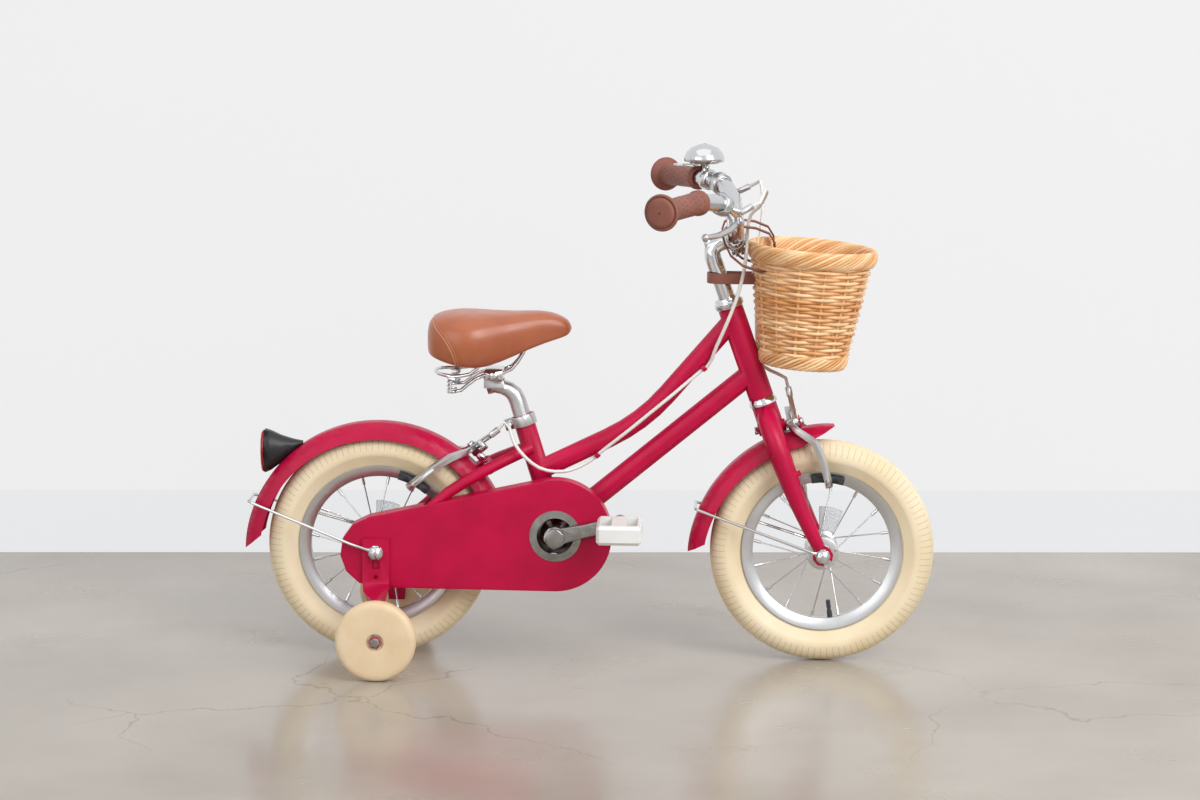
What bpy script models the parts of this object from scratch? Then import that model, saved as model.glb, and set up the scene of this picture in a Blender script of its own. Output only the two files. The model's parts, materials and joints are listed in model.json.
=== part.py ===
"""A children's bicycle with training wheels, mudguards, a chain case and a basket.

Sizes are in metres. +X points ahead, +Y to the rider's left and +Z up. The
origin lies where the rear tyre touches the ground.
"""
from math import asin, atan2, ceil, cos, hypot, pi, radians, sin, tan

import bmesh
import bpy
from mathutils import Matrix, Vector

# Clearances
GAP = 0.0003
BRAKE_GAP = 0.0024

# Wheels
WHEELBASE = 0.594
TYRE_R = 0.150
TYRE_W = 0.044
TREAD_W = 0.012
RIM_R = 0.1077
RIM_INNER_R = 0.0925
RIM_W = 0.024
RIM_FLANGE = 0.0015
BEAD_DEPTH = 0.0026
WHEEL_FACETS = 28
SPOKES = 16
SPOKE_D = 0.002
SPOKE_SLANT = radians(20.0)
VALVE_D = 0.006
VALVE_LENGTH = 0.026
FRONT_VALVE_ANGLE = radians(-82.0)
REAR_VALVE_ANGLE = radians(-22.0)
HUB_BARREL_R = 0.014
HUB_FLANGE_R = 0.022
HUB_FLANGE_T = 0.0025
SPOKE_CIRCLE_R = 0.0185
FRONT_FLANGE_Y = 0.026
REAR_FLANGE_Y = 0.025
REFLECTOR_IN_R = 0.030
REFLECTOR_OUT_R = 0.062
REFLECTOR_HALF_ANGLE = radians(19.0)
REFLECTOR_ANGLE = radians(78.75)
REFLECTOR_T = 0.006

# Axles and dropouts
AXLE_D = 0.0095
FRONT_OLD = 0.083
REAR_OLD = 0.094
DROPOUT_T = 0.005
FRONT_DROPOUT_R = 0.0140
REAR_DROPOUT_R = 0.0160
AXLE_NUT_R = 0.0098
AXLE_NUT_T = 0.0085
LOCKNUT_R = 0.0095
LOCKNUT_T = 0.006

# Frame
BB_X = TYRE_R + 0.0883
BB_RISE = 0.025
BB_SHELL_R = 0.020
BB_SHELL_W = 0.068
BB_BORE_R = 0.0168
SEAT_TUBE_ANGLE = radians(72.5)
SEAT_TUBE_D = 0.028
SEAT_TUBE_BORE = 0.0240
SEAT_TUBE_LENGTH = 0.1600
DOWN_TUBE_D = 0.0286
DOWN_TUBE_HEAD_Z = 0.0410
TOP_TUBE_D = 0.0270
TOP_TUBE_SEAT_Z = 0.0818
TOP_TUBE_HEAD_Z = 0.1168
TOP_TUBE_LOW_SLOPE = radians(26.0)
TOP_TUBE_HIGH_SLOPE = radians(49.5)
TOP_TUBE_BEND_R = 0.240
STAY_D = 0.016
BRIDGE_D = 0.014
HEAD_ANGLE = radians(70.2)
HEAD_TUBE_D = 0.034
HEAD_TUBE_BORE = 0.0282
HEAD_TUBE_LENGTH = 0.1260
HEAD_CUP_D = 0.0376
HEAD_CUP_T = 0.0094
UPPER_STACK_D = 0.0387
UPPER_STACK_T = 0.0160

# Fork, stem and handlebar, along the steering axis from the lower head race
FORK_RAKE = 0.0094
FORK_LENGTH = TYRE_R + 0.0674
STEERER_D = 0.0254
STEERER_BORE = 0.0228
BLADE_Y = 0.0445
BLADE_TOP_D = 0.0290
BLADE_TIP_D = 0.0170
QUILL_D = 0.0222
QUILL_TOP_Z = 0.2176
BAR_D = 0.0222
BAR_X = 0.0361
BAR_Z = 0.2181
GRIP_D = 0.0290
GRIP_LENGTH = 0.1145
GRIP_INNER_FLANGE_D = 0.0330
GRIP_END_FLANGE_D = 0.0470
GRIP_END_Y = 0.2824
LEVER_CLAMP_Y = 0.1480
LEVER_LENGTH = 0.0900
LEVER_D = 0.0086
BELL_CLAMP_Y = 0.1660
BELL_D = 0.0550
BELL_H = 0.0250

# Basket
BASKET_H = 0.1630
BASKET_FLOOR_R = 0.0585
BASKET_RIM_X = 0.0850
BASKET_RIM_Y = 0.0950
BASKET_BORDER_H = 0.0240
BASKET_BORDER_T = 0.0140
BASKET_WALL = 0.0080
BASKET_FLOOR_T = 0.0100
BASKET_LEAN = radians(4.2)
BASKET_BASE_X = 0.0515
BASKET_BASE_Z = 0.0475
STRAP_W = 0.0140
STRAP_T = 0.0022
STRAP_Y = 0.0450

# Chain drive
CHAIN_PITCH = 0.0127
CHAIN_Y = -0.0400
CHAIN_W = 0.0078
CHAIN_H = 0.0084
CHAIN_PLATE = 0.0013
CHAINRING_TEETH = 28
SPROCKET_TEETH = 16
TOOTH_T = 0.0030
CRANK_LENGTH = 0.0890
CRANK_ANGLE = radians(13.5)
CRANK_AXLE_D = 0.0160
CRANK_ARM_T = 0.0090
CRANK_ARM_Y = 0.0700
LEFT_CRANK_Y = 0.0480
PEDAL_L = 0.0590
PEDAL_W = 0.0800
PEDAL_T = 0.0250
PEDAL_GAP = 0.0100
PEDAL_SPINDLE_D = 0.0110

# Chain case
CASE_REAR_R = 0.0480
CASE_FRONT_R = 0.0750
CASE_OUTER_Y = 0.0612
CASE_INNER_Y = 0.0333
CASE_WALL = 0.0012
CASE_WINDOW_R = 0.0328
CASE_RING_IN_R = 0.0245
CASE_RING_PROUD = 0.0020

# Mudguards
GUARD_T = 0.0016
GUARD_HALF_W = 0.0268
GUARD_CROWN_H = 0.0240
REAR_GUARD_R = TYRE_R + 0.0296
REAR_GUARD_DX = -0.0016
REAR_GUARD_DZ = -0.0131
REAR_GUARD_FROM = radians(18.0)
REAR_GUARD_TO = radians(180.0)
REAR_GUARD_RINGS = 17
FRONT_GUARD_R = TYRE_R + 0.0441
FRONT_GUARD_DX = 0.0125
FRONT_GUARD_DZ = -0.0239
FRONT_GUARD_FROM = radians(84.0)
FRONT_GUARD_TO = radians(177.0)
STAY_WIRE_D = 0.0042

# Callipers
CAL_BOLT_D = 0.0060
CAL_ARM_T = 0.0070
CAL_ARM_W = 0.0110
PAD_L = 0.0440
PAD_R = RIM_R - 0.0082
PAD_H = 0.0085
PAD_T = 0.0090
CABLE_D = 0.0048

# Training wheels
TRAINER_R = 0.0530
TRAINER_OUT_Y = 0.1783
TRAINER_W = 0.0260
TRAINER_X = 0.0090
TRAINER_PLATE_T = 0.0040
TRAINER_PLATE_W = 0.0360
TRAINER_TOP_RISE = 0.0190

# Saddle and seat post
SEAT_POST_D = 0.0232
SEAT_POST_BORE = 0.0202
SEAT_POST_FROM = 0.0600
SPRING_WIRE_D = 0.0028
SPRING_COIL_R = 0.0058
SPRING_TURNS = 3.5
SPRING_H = 0.0190
RAIL_D = 0.0050


def group(name):
    collection = bpy.data.collections.new(name)
    bpy.context.scene.collection.children.link(collection)
    return collection


for old in list(bpy.data.objects):
    bpy.data.objects.remove(old, do_unlink=True)
PARTS = group("kids_bike")
CUTTERS = group("cutters")


def material(name, colour, roughness, metallic=0.0):
    mat = bpy.data.materials.new(name)
    mat.use_nodes = True
    shader = mat.node_tree.nodes["Principled BSDF"]
    shader.inputs["Base Color"].default_value = (*colour, 1.0)
    shader.inputs["Roughness"].default_value = roughness
    shader.inputs["Metallic"].default_value = metallic
    return mat


CRIMSON = material("crimson paint", (0.445, 0.0, 0.046), 0.42)
CREAM = material("cream rubber", (0.80, 0.69, 0.46), 0.75)
CREAM_PLASTIC = material("cream plastic", (0.83, 0.66, 0.45), 0.5)
SILVER = material("satin aluminium", (0.62, 0.62, 0.62), 0.35, 1.0)
CHROME = material("chrome", (0.78, 0.78, 0.78), 0.12, 1.0)
GREY_STEEL = material("grey steel", (0.30, 0.29, 0.28), 0.4, 1.0)
TAN = material("tan leatherette", (0.38, 0.12, 0.045), 0.45)
BROWN = material("dusty brown rubber", (0.26, 0.09, 0.065), 0.6)
WICKER = material("honey wicker", (0.70, 0.33, 0.10), 0.6)
WHITE = material("white plastic", (0.82, 0.82, 0.80), 0.4)
BLACK = material("black plastic", (0.02, 0.02, 0.022), 0.45)
RED_LENS = material("red lens", (0.55, 0.01, 0.01), 0.15)
CLEAR = material("clear reflector", (0.85, 0.87, 0.88), 0.1)


def empty(name, location, rotation=(0.0, 0.0, 0.0), parent=None):
    mark = bpy.data.objects.new(name, None)
    mark.empty_display_size = 0.02
    mark.location = location
    mark.rotation_euler = rotation
    mark.parent = parent
    CUTTERS.objects.link(mark)
    return mark


def framed(name, origin, x_axis, y_axis, parent=None):
    """An empty at origin whose X runs along x_axis and Z square to x_axis and y_axis."""
    x = Vector(x_axis).normalized()
    z = x.cross(Vector(y_axis)).normalized()
    turn = Matrix((x, z.cross(x), z)).transposed()
    return empty(name, origin, turn.to_euler(), parent)


def place(obj, mat=None, parent=None, location=None, rotation=None):
    obj.parent = parent
    if location is not None:
        obj.location = location
    if rotation is not None:
        obj.rotation_euler = rotation
    if mat is not None:
        obj.data.materials.clear()
        obj.data.materials.append(mat)
    return obj


def solid(name, bm):
    """A mesh object from bm, with the loose doubles welded and faces turned out."""
    bmesh.ops.remove_doubles(bm, verts=bm.verts, dist=1e-6)
    bmesh.ops.recalc_face_normals(bm, faces=bm.faces)
    mesh = bpy.data.meshes.new(name)
    bm.to_mesh(mesh)
    bm.free()
    obj = bpy.data.objects.new(name, mesh)
    PARTS.objects.link(obj)
    return obj


def evaluated(obj):
    bpy.context.view_layer.update()
    graph = bpy.context.evaluated_depsgraph_get()
    return bpy.data.meshes.new_from_object(obj.evaluated_get(graph))


def meshed(curve_obj):
    """The solid of a curve object, its caps welded on; the curve is removed."""
    name = curve_obj.name
    PARTS.objects.link(curve_obj)
    bm = bmesh.new()
    bm.from_mesh(evaluated(curve_obj))
    bpy.data.objects.remove(curve_obj)
    return solid(name, bm)


def tube(name, points, radius, sides=12, taper=None, cyclic=False):
    """A round tube along points; taper holds each point's share of the radius."""
    curve = bpy.data.curves.new(name, "CURVE")
    curve.dimensions = "3D"
    curve.bevel_depth = radius
    curve.bevel_resolution = sides // 2 - 2
    curve.use_fill_caps = not cyclic
    spline = curve.splines.new("POLY")
    spline.points.add(len(points) - 1)
    for index, (spot, point) in enumerate(zip(spline.points, points)):
        spot.co = (*point, 1.0)
        spot.radius = taper[index] if taper else 1.0
    spline.use_cyclic_u = cyclic
    return meshed(bpy.data.objects.new(name, curve))


def plate(name, outlines, thickness):
    """A flat plate in the XZ plane, from y = 0 to y = thickness, with holes."""
    curve = bpy.data.curves.new(name, "CURVE")
    curve.dimensions = "2D"
    curve.fill_mode = "BOTH"
    curve.extrude = thickness / 2
    for outline in outlines:
        spline = curve.splines.new("POLY")
        spline.points.add(len(outline) - 1)
        for spot, (x, z) in zip(spline.points, outline):
            spot.co = (x, z, 0.0, 1.0)
        spline.use_cyclic_u = True
    obj = meshed(bpy.data.objects.new(name, curve))
    turn = Matrix.Translation((0, thickness / 2, 0)) @ Matrix.Rotation(pi / 2, 4, "X")
    obj.data.transform(turn)
    return obj


def turned(name, profile, steps, phase=0.0):
    """A profile of (radius, y) revolved about the Y axis."""
    area = sum(a[0] * b[1] - b[0] * a[1] for a, b in zip(profile, profile[1:] + profile[:1]))
    path = profile if area < 0 else profile[::-1]
    bm = bmesh.new()
    spots = [bm.verts.new((r, 0.0, y)) for r, y in path]
    links = list(zip(spots, spots[1:] + spots[:1]))
    for first, second in links:
        if first.co.x > 1e-9 or second.co.x > 1e-9:
            bm.edges.new((first, second))
    mesh = bpy.data.meshes.new(name)
    bm.to_mesh(mesh)
    bm.free()
    obj = bpy.data.objects.new(name, mesh)
    PARTS.objects.link(obj)
    screw = obj.modifiers.new("turn", "SCREW")
    screw.axis = "Z"
    screw.steps = steps
    screw.render_steps = steps
    screw.use_merge_vertices = True
    screw.merge_threshold = 1e-6
    body = evaluated(obj)
    bpy.data.objects.remove(obj)
    body.transform(Matrix.Rotation(phase, 4, "Y") @ Matrix.Rotation(-pi / 2, 4, "X"))
    bm = bmesh.new()
    bm.from_mesh(body)
    return solid(name, bm)


def rod(name, start, end, radius, sides=12, end_radius=None):
    """A round bar from start to end, which may taper to end_radius."""
    start, end = Vector(start), Vector(end)
    run = end - start
    turn = run.to_track_quat("Z", "X").to_matrix().to_4x4()
    bm = bmesh.new()
    bmesh.ops.create_cone(bm, cap_ends=True, segments=sides, radius1=radius,
                          radius2=radius if end_radius is None else end_radius,
                          depth=run.length,
                          matrix=Matrix.Translation((start + end) / 2) @ turn)
    return solid(name, bm)


def clear_of(radius, sides):
    """Radius of a hole with flat sides that stays one gap outside a bar."""
    return (radius + GAP) / cos(pi / sides)


def block(name, centre, size, rotation=None, chamfer=0.0):
    """A box, its edges chamfered where chamfer is set."""
    bm = bmesh.new()
    bmesh.ops.create_cube(bm, size=1.0, matrix=Matrix.Diagonal((*size, 1.0)))
    if chamfer:
        bmesh.ops.bevel(bm, geom=list(bm.edges), offset=chamfer, segments=1, affect="EDGES")
    turn = (rotation or Matrix.Identity(3)).to_4x4()
    bm.transform(Matrix.Translation(centre) @ turn)
    return solid(name, bm)


def ball(name, centre, radius, segments=12):
    bm = bmesh.new()
    bmesh.ops.create_uvsphere(bm, u_segments=segments, v_segments=segments // 2,
                              radius=radius, matrix=Matrix.Translation(centre))
    return solid(name, bm)


def hull(name, points):
    """The convex solid around points."""
    bm = bmesh.new()
    for point in points:
        bm.verts.new(point)
    result = bmesh.ops.convex_hull(bm, input=bm.verts)
    loose = [v for v in bm.verts if not v.link_faces]
    bmesh.ops.delete(bm, geom=loose, context="VERTS")
    return solid(name, bm)


def loft(name, rings, closed=False):
    """A solid through rings of points, capped at both ends unless it is closed."""
    bm = bmesh.new()
    rows = [[bm.verts.new(point) for point in ring] for ring in rings]
    pairs = list(zip(rows, rows[1:]))
    if closed:
        pairs.append((rows[-1], rows[0]))
    for low, high in pairs:
        for i in range(len(low)):
            j = (i + 1) % len(low)
            bm.faces.new((low[i], low[j], high[j], high[i]))
    if not closed:
        bm.faces.new(rows[0][::-1])
        bm.faces.new(rows[-1])
    return solid(name, bm)


def boolean(obj, other, operation):
    """Applies other to obj at once, and removes other."""
    cutter = other
    cutter.hide_render = True
    cutter.display_type = "WIRE"
    step = obj.modifiers.new(operation.lower(), "BOOLEAN")
    step.operation = operation
    step.solver = "EXACT"
    step.object = cutter
    mesh = evaluated(obj)
    obj.modifiers.clear()
    bm = bmesh.new()
    bm.from_mesh(mesh)
    bmesh.ops.remove_doubles(bm, verts=bm.verts, dist=1e-6)
    bmesh.ops.dissolve_degenerate(bm, edges=bm.edges, dist=1e-7)
    bm.to_mesh(obj.data)
    bm.free()
    bpy.data.objects.remove(cutter)
    return obj


def join(obj, *others):
    for other in others:
        boolean(obj, other, "UNION")
    return obj


def cut(obj, *cutters):
    for cutter in cutters:
        boolean(obj, cutter, "DIFFERENCE")
    return obj


def mirrored(obj, name):
    """The left-hand twin of obj, mirrored in the plane y = 0 of its parent."""
    mesh = evaluated(obj)
    turn = obj.matrix_basis
    flip = Matrix.Diagonal((1.0, -1.0, 1.0, 1.0))
    mesh.transform(flip @ turn)
    bm = bmesh.new()
    bm.from_mesh(mesh)
    bmesh.ops.reverse_faces(bm, faces=bm.faces)
    twin = solid(name, bm)
    twin.data.materials.append(obj.data.materials[0])
    twin.parent = obj.parent
    return twin


def pivoted(obj, point):
    """Moves the origin of obj to point, in its parent's frame, on its joint's axis."""
    point = Vector(point)
    obj.data.transform(Matrix.Translation(obj.location - point))
    obj.location = point
    return obj


def arc(centre, radius, start, end, count):
    """Points (x, z) on an arc in the XZ plane, both ends among them."""
    steps = [start + (end - start) * i / (count - 1) for i in range(count)]
    return [(centre[0] + radius * cos(a), centre[1] + radius * sin(a)) for a in steps]


def circle(centre, radius, count, phase=0.0):
    steps = [phase + 2 * pi * i / count for i in range(count)]
    return [(centre[0] + radius * cos(a), centre[1] + radius * sin(a)) for a in steps]


def smooth(points, count, cyclic=False):
    """Points evenly along a Catmull-Rom curve through points."""
    spots = [Vector(p) for p in points]
    if cyclic:
        spots = [spots[-1], *spots, spots[0], spots[1]]
    else:
        spots = [2 * spots[0] - spots[1], *spots, 2 * spots[-1] - spots[-2]]
    fine = []
    for i in range(1, len(spots) - 2):
        a, b, c, d = spots[i - 1:i + 3]
        for k in range(24):
            t = k / 24
            fine.append(0.5 * (2 * b + (c - a) * t + (2 * a - 5 * b + 4 * c - d) * t * t
                               + (3 * b - a - 3 * c + d) * t ** 3))
    fine.append(spots[-2])
    lengths = [0.0]
    for a, b in zip(fine, fine[1:]):
        lengths.append(lengths[-1] + (b - a).length)
    whole = lengths[-1]
    wanted = [whole * i / (count if cyclic else count - 1) for i in range(count)]
    result, k = [], 0
    for target in wanted:
        while k < len(lengths) - 2 and lengths[k + 1] < target:
            k += 1
        span = lengths[k + 1] - lengths[k]
        result.append(fine[k].lerp(fine[k + 1], (target - lengths[k]) / span))
    return result


def band(name, path, widths, thickness, across, corner=0.25, closed=False):
    """A flat bar along path; across is the way of its thickness, or a closed one's width."""
    rings = []
    last = len(path) - 1
    for i, spot in enumerate(path):
        ahead = path[(i + 1) % len(path)] if closed else path[min(i + 1, last)]
        behind = path[i - 1] if closed or i else path[0]
        tangent = (Vector(ahead) - Vector(behind)).normalized()
        thick = Vector(across)
        if closed:
            thick = tangent.cross(thick)
        thick = (thick - tangent * thick.dot(tangent)).normalized()
        side = tangent.cross(thick)
        half_w = (widths[i] if isinstance(widths, (list, tuple)) else widths) / 2
        half_t = thickness / 2
        cw = corner * 2 * min(half_w, half_t)
        marks = [(half_w, half_t - cw), (half_w - cw, half_t), (cw - half_w, half_t),
                 (-half_w, half_t - cw), (-half_w, cw - half_t), (cw - half_w, -half_t),
                 (half_w - cw, -half_t), (half_w, cw - half_t)]
        if not corner:
            marks = [(half_w, half_t), (-half_w, half_t), (-half_w, -half_t),
                     (half_w, -half_t)]
        rings.append([Vector(spot) + side * u + thick * v for u, v in marks])
    return loft(name, rings, closed)


# Reference frames. Each moving piece hangs from the frame of what carries it.
def turn_y(angle):
    return Matrix.Rotation(angle, 3, "Y")


REAR_AXLE = Vector((0.0, 0.0, TYRE_R))
FRONT_AXLE = Vector((WHEELBASE, 0.0, TYRE_R))
BB = Vector((BB_X, 0.0, TYRE_R + BB_RISE))
STEER_TILT = HEAD_ANGLE - pi / 2
STEER_TURN = turn_y(STEER_TILT)
HEAD_RACE = FRONT_AXLE + STEER_TURN @ Vector((-FORK_RAKE, 0.0, FORK_LENGTH))
HEAD_BOTTOM = HEAD_CUP_T / 2 + GAP
HEAD_TOP = HEAD_BOTTOM + HEAD_TUBE_LENGTH

REAR = empty("rear_axle_line", REAR_AXLE)
CRANKS = empty("crank_line", BB)
STEER = empty("steering_axis", HEAD_RACE, (0.0, STEER_TILT, 0.0))
FRONT = empty("front_axle_line", (FORK_RAKE, 0.0, -FORK_LENGTH), parent=STEER)


def steer_world(x, y, z):
    """World place of a point given in the steering frame."""
    return HEAD_RACE + STEER_TURN @ Vector((x, y, z))


def from_race(x, y, z):
    """World place of a point given as its level offset from the lower head race."""
    return HEAD_RACE + Vector((x, y, z))


def steer_local(point):
    return STEER_TURN.transposed() @ (Vector(point) - HEAD_RACE)


def seat_axis(length):
    """Point on the seat tube's axis, at length from the bottom bracket."""
    return BB + Vector((-cos(SEAT_TUBE_ANGLE), 0.0, sin(SEAT_TUBE_ANGLE))) * length


# Wheels
def polar(radius, angle, y=0.0):
    return Vector((radius * cos(angle), y, radius * sin(angle)))


def tyre(name, valve_angle):
    crown = TYRE_R / cos(pi / WHEEL_FACETS)
    middle = (TYRE_R + RIM_R) / 2
    bead_y = RIM_W / 2 - RIM_FLANGE - GAP
    seat_r = RIM_R - BEAD_DEPTH + GAP
    side = [(crown, TREAD_W / 2), (middle + 0.60 * (TYRE_R - middle), 0.40 * TYRE_W),
            (middle, TYRE_W / 2), (RIM_R + GAP, bead_y), (seat_r, bead_y)]
    profile = side + [(r, -y) for r, y in side[::-1]]
    body = turned(name, profile, WHEEL_FACETS, pi / WHEEL_FACETS)
    return join(body, rod("valve", polar(seat_r + 0.003, valve_angle),
                          polar(RIM_INNER_R - VALVE_LENGTH, valve_angle), VALVE_D / 2, 8))


def rim(name, valve_angle):
    bed_r = RIM_R - BEAD_DEPTH
    side = [(RIM_R, RIM_W / 2), (RIM_INNER_R, RIM_W / 3)]
    inside = [(bed_r, RIM_W / 2 - RIM_FLANGE), (RIM_R, RIM_W / 2 - RIM_FLANGE)]
    outer = side + [(r, -y) for r, y in side[::-1]]
    channel = [(r, -y) for r, y in inside[::-1]] + inside
    body = turned(name, outer + channel, WHEEL_FACETS, pi / WHEEL_FACETS)
    return cut(body, rod("valve_hole", polar(RIM_INNER_R - 0.01, valve_angle),
                         polar(RIM_R, valve_angle), VALVE_D / 2 + GAP, 8))


def spoked_hub(name, flange_y, left_y, right_y, boss_r, phase):
    """Hub shell and laced spokes; left_y and right_y are where the shell ends."""
    bore = AXLE_D / 2 + GAP
    outer_y = flange_y + HUB_FLANGE_T
    left = [(bore, left_y), (0.0125, left_y), (0.0125, outer_y),
            (HUB_FLANGE_R, outer_y), (HUB_FLANGE_R, flange_y),
            (HUB_BARREL_R, flange_y - 0.003)]
    right = [(HUB_BARREL_R, 0.003 - flange_y), (HUB_FLANGE_R, -flange_y),
             (HUB_FLANGE_R, -outer_y), (boss_r, -outer_y), (boss_r, right_y),
             (bore, right_y)]
    hub = turned(name, left + right, 12)
    for k in range(SPOKES):
        side = 1 if k % 2 else -1
        slant = SPOKE_SLANT if k % 4 < 2 else -SPOKE_SLANT
        angle = phase + 2 * pi * k / SPOKES
        inner = polar(SPOKE_CIRCLE_R, angle + slant, side * (flange_y + HUB_FLANGE_T / 2))
        end_r = RIM_INNER_R * cos(pi / WHEEL_FACETS) - GAP - 0.0002
        join(hub, rod("spoke", inner, polar(end_r, angle, side * 0.0025), SPOKE_D / 2, 4))
    return hub


def reflector(name, flange_y):
    """A wedge-shaped reflector that leans with the near spokes, just inside them."""
    middle_r = (REFLECTOR_IN_R + REFLECTOR_OUT_R) / 2
    low = arc((0.0, 0.0), REFLECTOR_IN_R, REFLECTOR_HALF_ANGLE, -REFLECTOR_HALF_ANGLE, 4)
    high = arc((0.0, 0.0), REFLECTOR_OUT_R, -REFLECTOR_HALF_ANGLE * 0.8,
               REFLECTOR_HALF_ANGLE * 0.8, 5)
    body = plate(name, [[(x - middle_r, z) for x, z in low + high]], REFLECTOR_T)
    spoke_y = flange_y + HUB_FLANGE_T / 2
    slope = (spoke_y - 0.0025) / (RIM_INNER_R - SPOKE_CIRCLE_R)
    beside = spoke_y - slope * (middle_r - SPOKE_CIRCLE_R) - 0.0006
    inset = (SPOKE_D / 2 + GAP) / cos(atan2(slope, 1.0))
    body.data.transform(Matrix.Rotation(-REFLECTOR_ANGLE, 4, "Y")
                        @ Matrix.Translation((middle_r, inset - beside, 0))
                        @ Matrix.Rotation(atan2(slope, 1.0), 4, "Z"))
    return body


SPOKE_PHASE = radians(-7.5)
REAR_BOSS_R = 0.0150
AXLE_COLLAR = 0.0020
place(tyre("front_tyre", FRONT_VALVE_ANGLE), CREAM, FRONT, rotation=(0, -STEER_TILT, 0))
place(rim("front_rim", FRONT_VALVE_ANGLE), SILVER, FRONT, rotation=(0, -STEER_TILT, 0))
front_shell = FRONT_OLD / 2 - LOCKNUT_T - GAP
place(spoked_hub("front_hub", FRONT_FLANGE_Y, front_shell, -front_shell, 0.0125,
                 SPOKE_PHASE), SILVER, FRONT, rotation=(0, -STEER_TILT, 0))
place(tyre("rear_tyre", REAR_VALVE_ANGLE), CREAM, REAR)
place(rim("rear_rim", REAR_VALVE_ANGLE), SILVER, REAR)
place(spoked_hub("rear_hub", REAR_FLANGE_Y, REAR_OLD / 2 - LOCKNUT_T - GAP,
                 GAP + AXLE_COLLAR - REAR_OLD / 2, REAR_BOSS_R, SPOKE_PHASE), SILVER, REAR)


# Frame
def chainstay(side):
    path = [(BB_X - 0.012, side * 0.020, BB.z - 0.002), (BB_X - 0.060, side * 0.0295, BB.z - 0.009),
            (BB_X - 0.120, side * 0.0385, BB.z - 0.0165), (0.062, side * 0.0462, TYRE_R + 0.003),
            (0.046, side * 0.0472, TYRE_R + 0.002)]
    return tube("chainstay", smooth(path, 5), STAY_D / 2, 8)


STAY_TOP = seat_axis(0.1150)
# Distance ahead of the axle and rise above it, both in tyre radii, with the offset between
STAY_BENDS = [(1.0867, 0.0262, 0.7787), (0.8667, 0.0352, 0.6667), (0.6467, 0.0425, 0.5333),
              (0.4667, 0.0508, 0.3900), (0.2933, 0.0512, 0.2467), (0.1133, 0.0512, 0.1000)]


def seat_stay_path(side):
    spots = [(TYRE_R * ahead, side * y, TYRE_R * (1 + rise)) for ahead, y, rise in STAY_BENDS]
    return smooth([(STAY_TOP.x, side * 0.010, STAY_TOP.z)] + spots, 10)


STAY_TAPER = [1.0] * 6 + [0.90, 0.68, 0.65, 0.65]


def rear_dropout(side):
    outline = arc((0.0, TYRE_R), REAR_DROPOUT_R, radians(85), radians(275), 7)
    outline += [(0.034, TYRE_R - 0.012), (0.054, TYRE_R - 0.006), (0.054, TYRE_R + 0.008),
                (0.030, TYRE_R + 0.030), (0.018, TYRE_R + 0.024)]
    body = plate("dropout", [outline], DROPOUT_T)
    inner = REAR_OLD / 2 + GAP
    body.data.transform(Matrix.Translation((0, inner if side > 0 else -inner - DROPOUT_T, 0)))
    return body


def fillet(start, corner, end, radius, count):
    """Path from start to end round an arc that is tangent to both legs."""
    start, corner, end = Vector(start), Vector(corner), Vector(end)
    back, ahead = (start - corner).normalized(), (end - corner).normalized()
    half = back.angle(ahead) / 2
    reach = radius / tan(half)
    centre = corner + (back + ahead).normalized() * radius / sin(half)
    first, last = corner + back * reach - centre, corner + ahead * reach - centre
    sweep = first.angle(last)
    marks = [start]
    for i in range(count):
        t = sweep * i / (count - 1)
        marks.append(centre + (first * sin(sweep - t) + last * sin(t)) / sin(sweep))
    return marks + [end]


TOP_TUBE_SEAT = seat_axis(TOP_TUBE_SEAT_Z)
TOP_TUBE_HEAD = steer_world(0.0, 0.0, TOP_TUBE_HEAD_Z)
LOW_RUN = Vector((cos(TOP_TUBE_LOW_SLOPE), 0.0, sin(TOP_TUBE_LOW_SLOPE)))
HIGH_RUN = Vector((cos(TOP_TUBE_HIGH_SLOPE), 0.0, sin(TOP_TUBE_HIGH_SLOPE)))
across = TOP_TUBE_HEAD - TOP_TUBE_SEAT
low_reach = ((across.x * HIGH_RUN.z - across.z * HIGH_RUN.x)
             / (LOW_RUN.x * HIGH_RUN.z - LOW_RUN.z * HIGH_RUN.x))
TOP_TUBE_CORNER = TOP_TUBE_SEAT + LOW_RUN * low_reach

GUIDE_SHARE = 0.7767
LOW_STRAIGHT = low_reach - TOP_TUBE_BEND_R * tan((TOP_TUBE_HIGH_SLOPE - TOP_TUBE_LOW_SLOPE) / 2)
GUIDE_FROM_SEAT = LOW_STRAIGHT * GUIDE_SHARE
GUIDE_FROM_HEAD = 0.0755
GUIDE_DROP = 0.0130
GUIDE_SIDE = 0.0110
GUIDE_LENGTH = 0.0060
GUIDE_PLAY = 0.0008
GUIDE_WALL = 0.0022


def guide_spot(foot, run):
    """Centre of a cable guide under the near side of the top tube."""
    return foot + Vector((run.z, 0.0, -run.x)) * GUIDE_DROP - Vector((0.0, GUIDE_SIDE, 0.0))


GUIDE_LOW = guide_spot(TOP_TUBE_SEAT + LOW_RUN * GUIDE_FROM_SEAT, LOW_RUN)
GUIDE_HIGH = guide_spot(TOP_TUBE_HEAD - HIGH_RUN * GUIDE_FROM_HEAD, HIGH_RUN)
GUIDE_RUN = (GUIDE_HIGH - GUIDE_LOW).normalized()

# The rear calliper's frame: X down its arms, Z along its bolt to the nut
REAR_CAL = REAR_AXLE + polar(TYRE_R + 0.0325, radians(45.69))
REAR_CAL_DOWN = Vector((-0.7800, 0.0, -0.6258)).normalized()
REAR_CAL_BOLT = REAR_CAL_DOWN.cross(Vector((0, 1, 0)))
BRIDGE_ALONG = 0.0278
BRIDGE = REAR_CAL + REAR_CAL_BOLT * BRIDGE_ALONG

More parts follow.
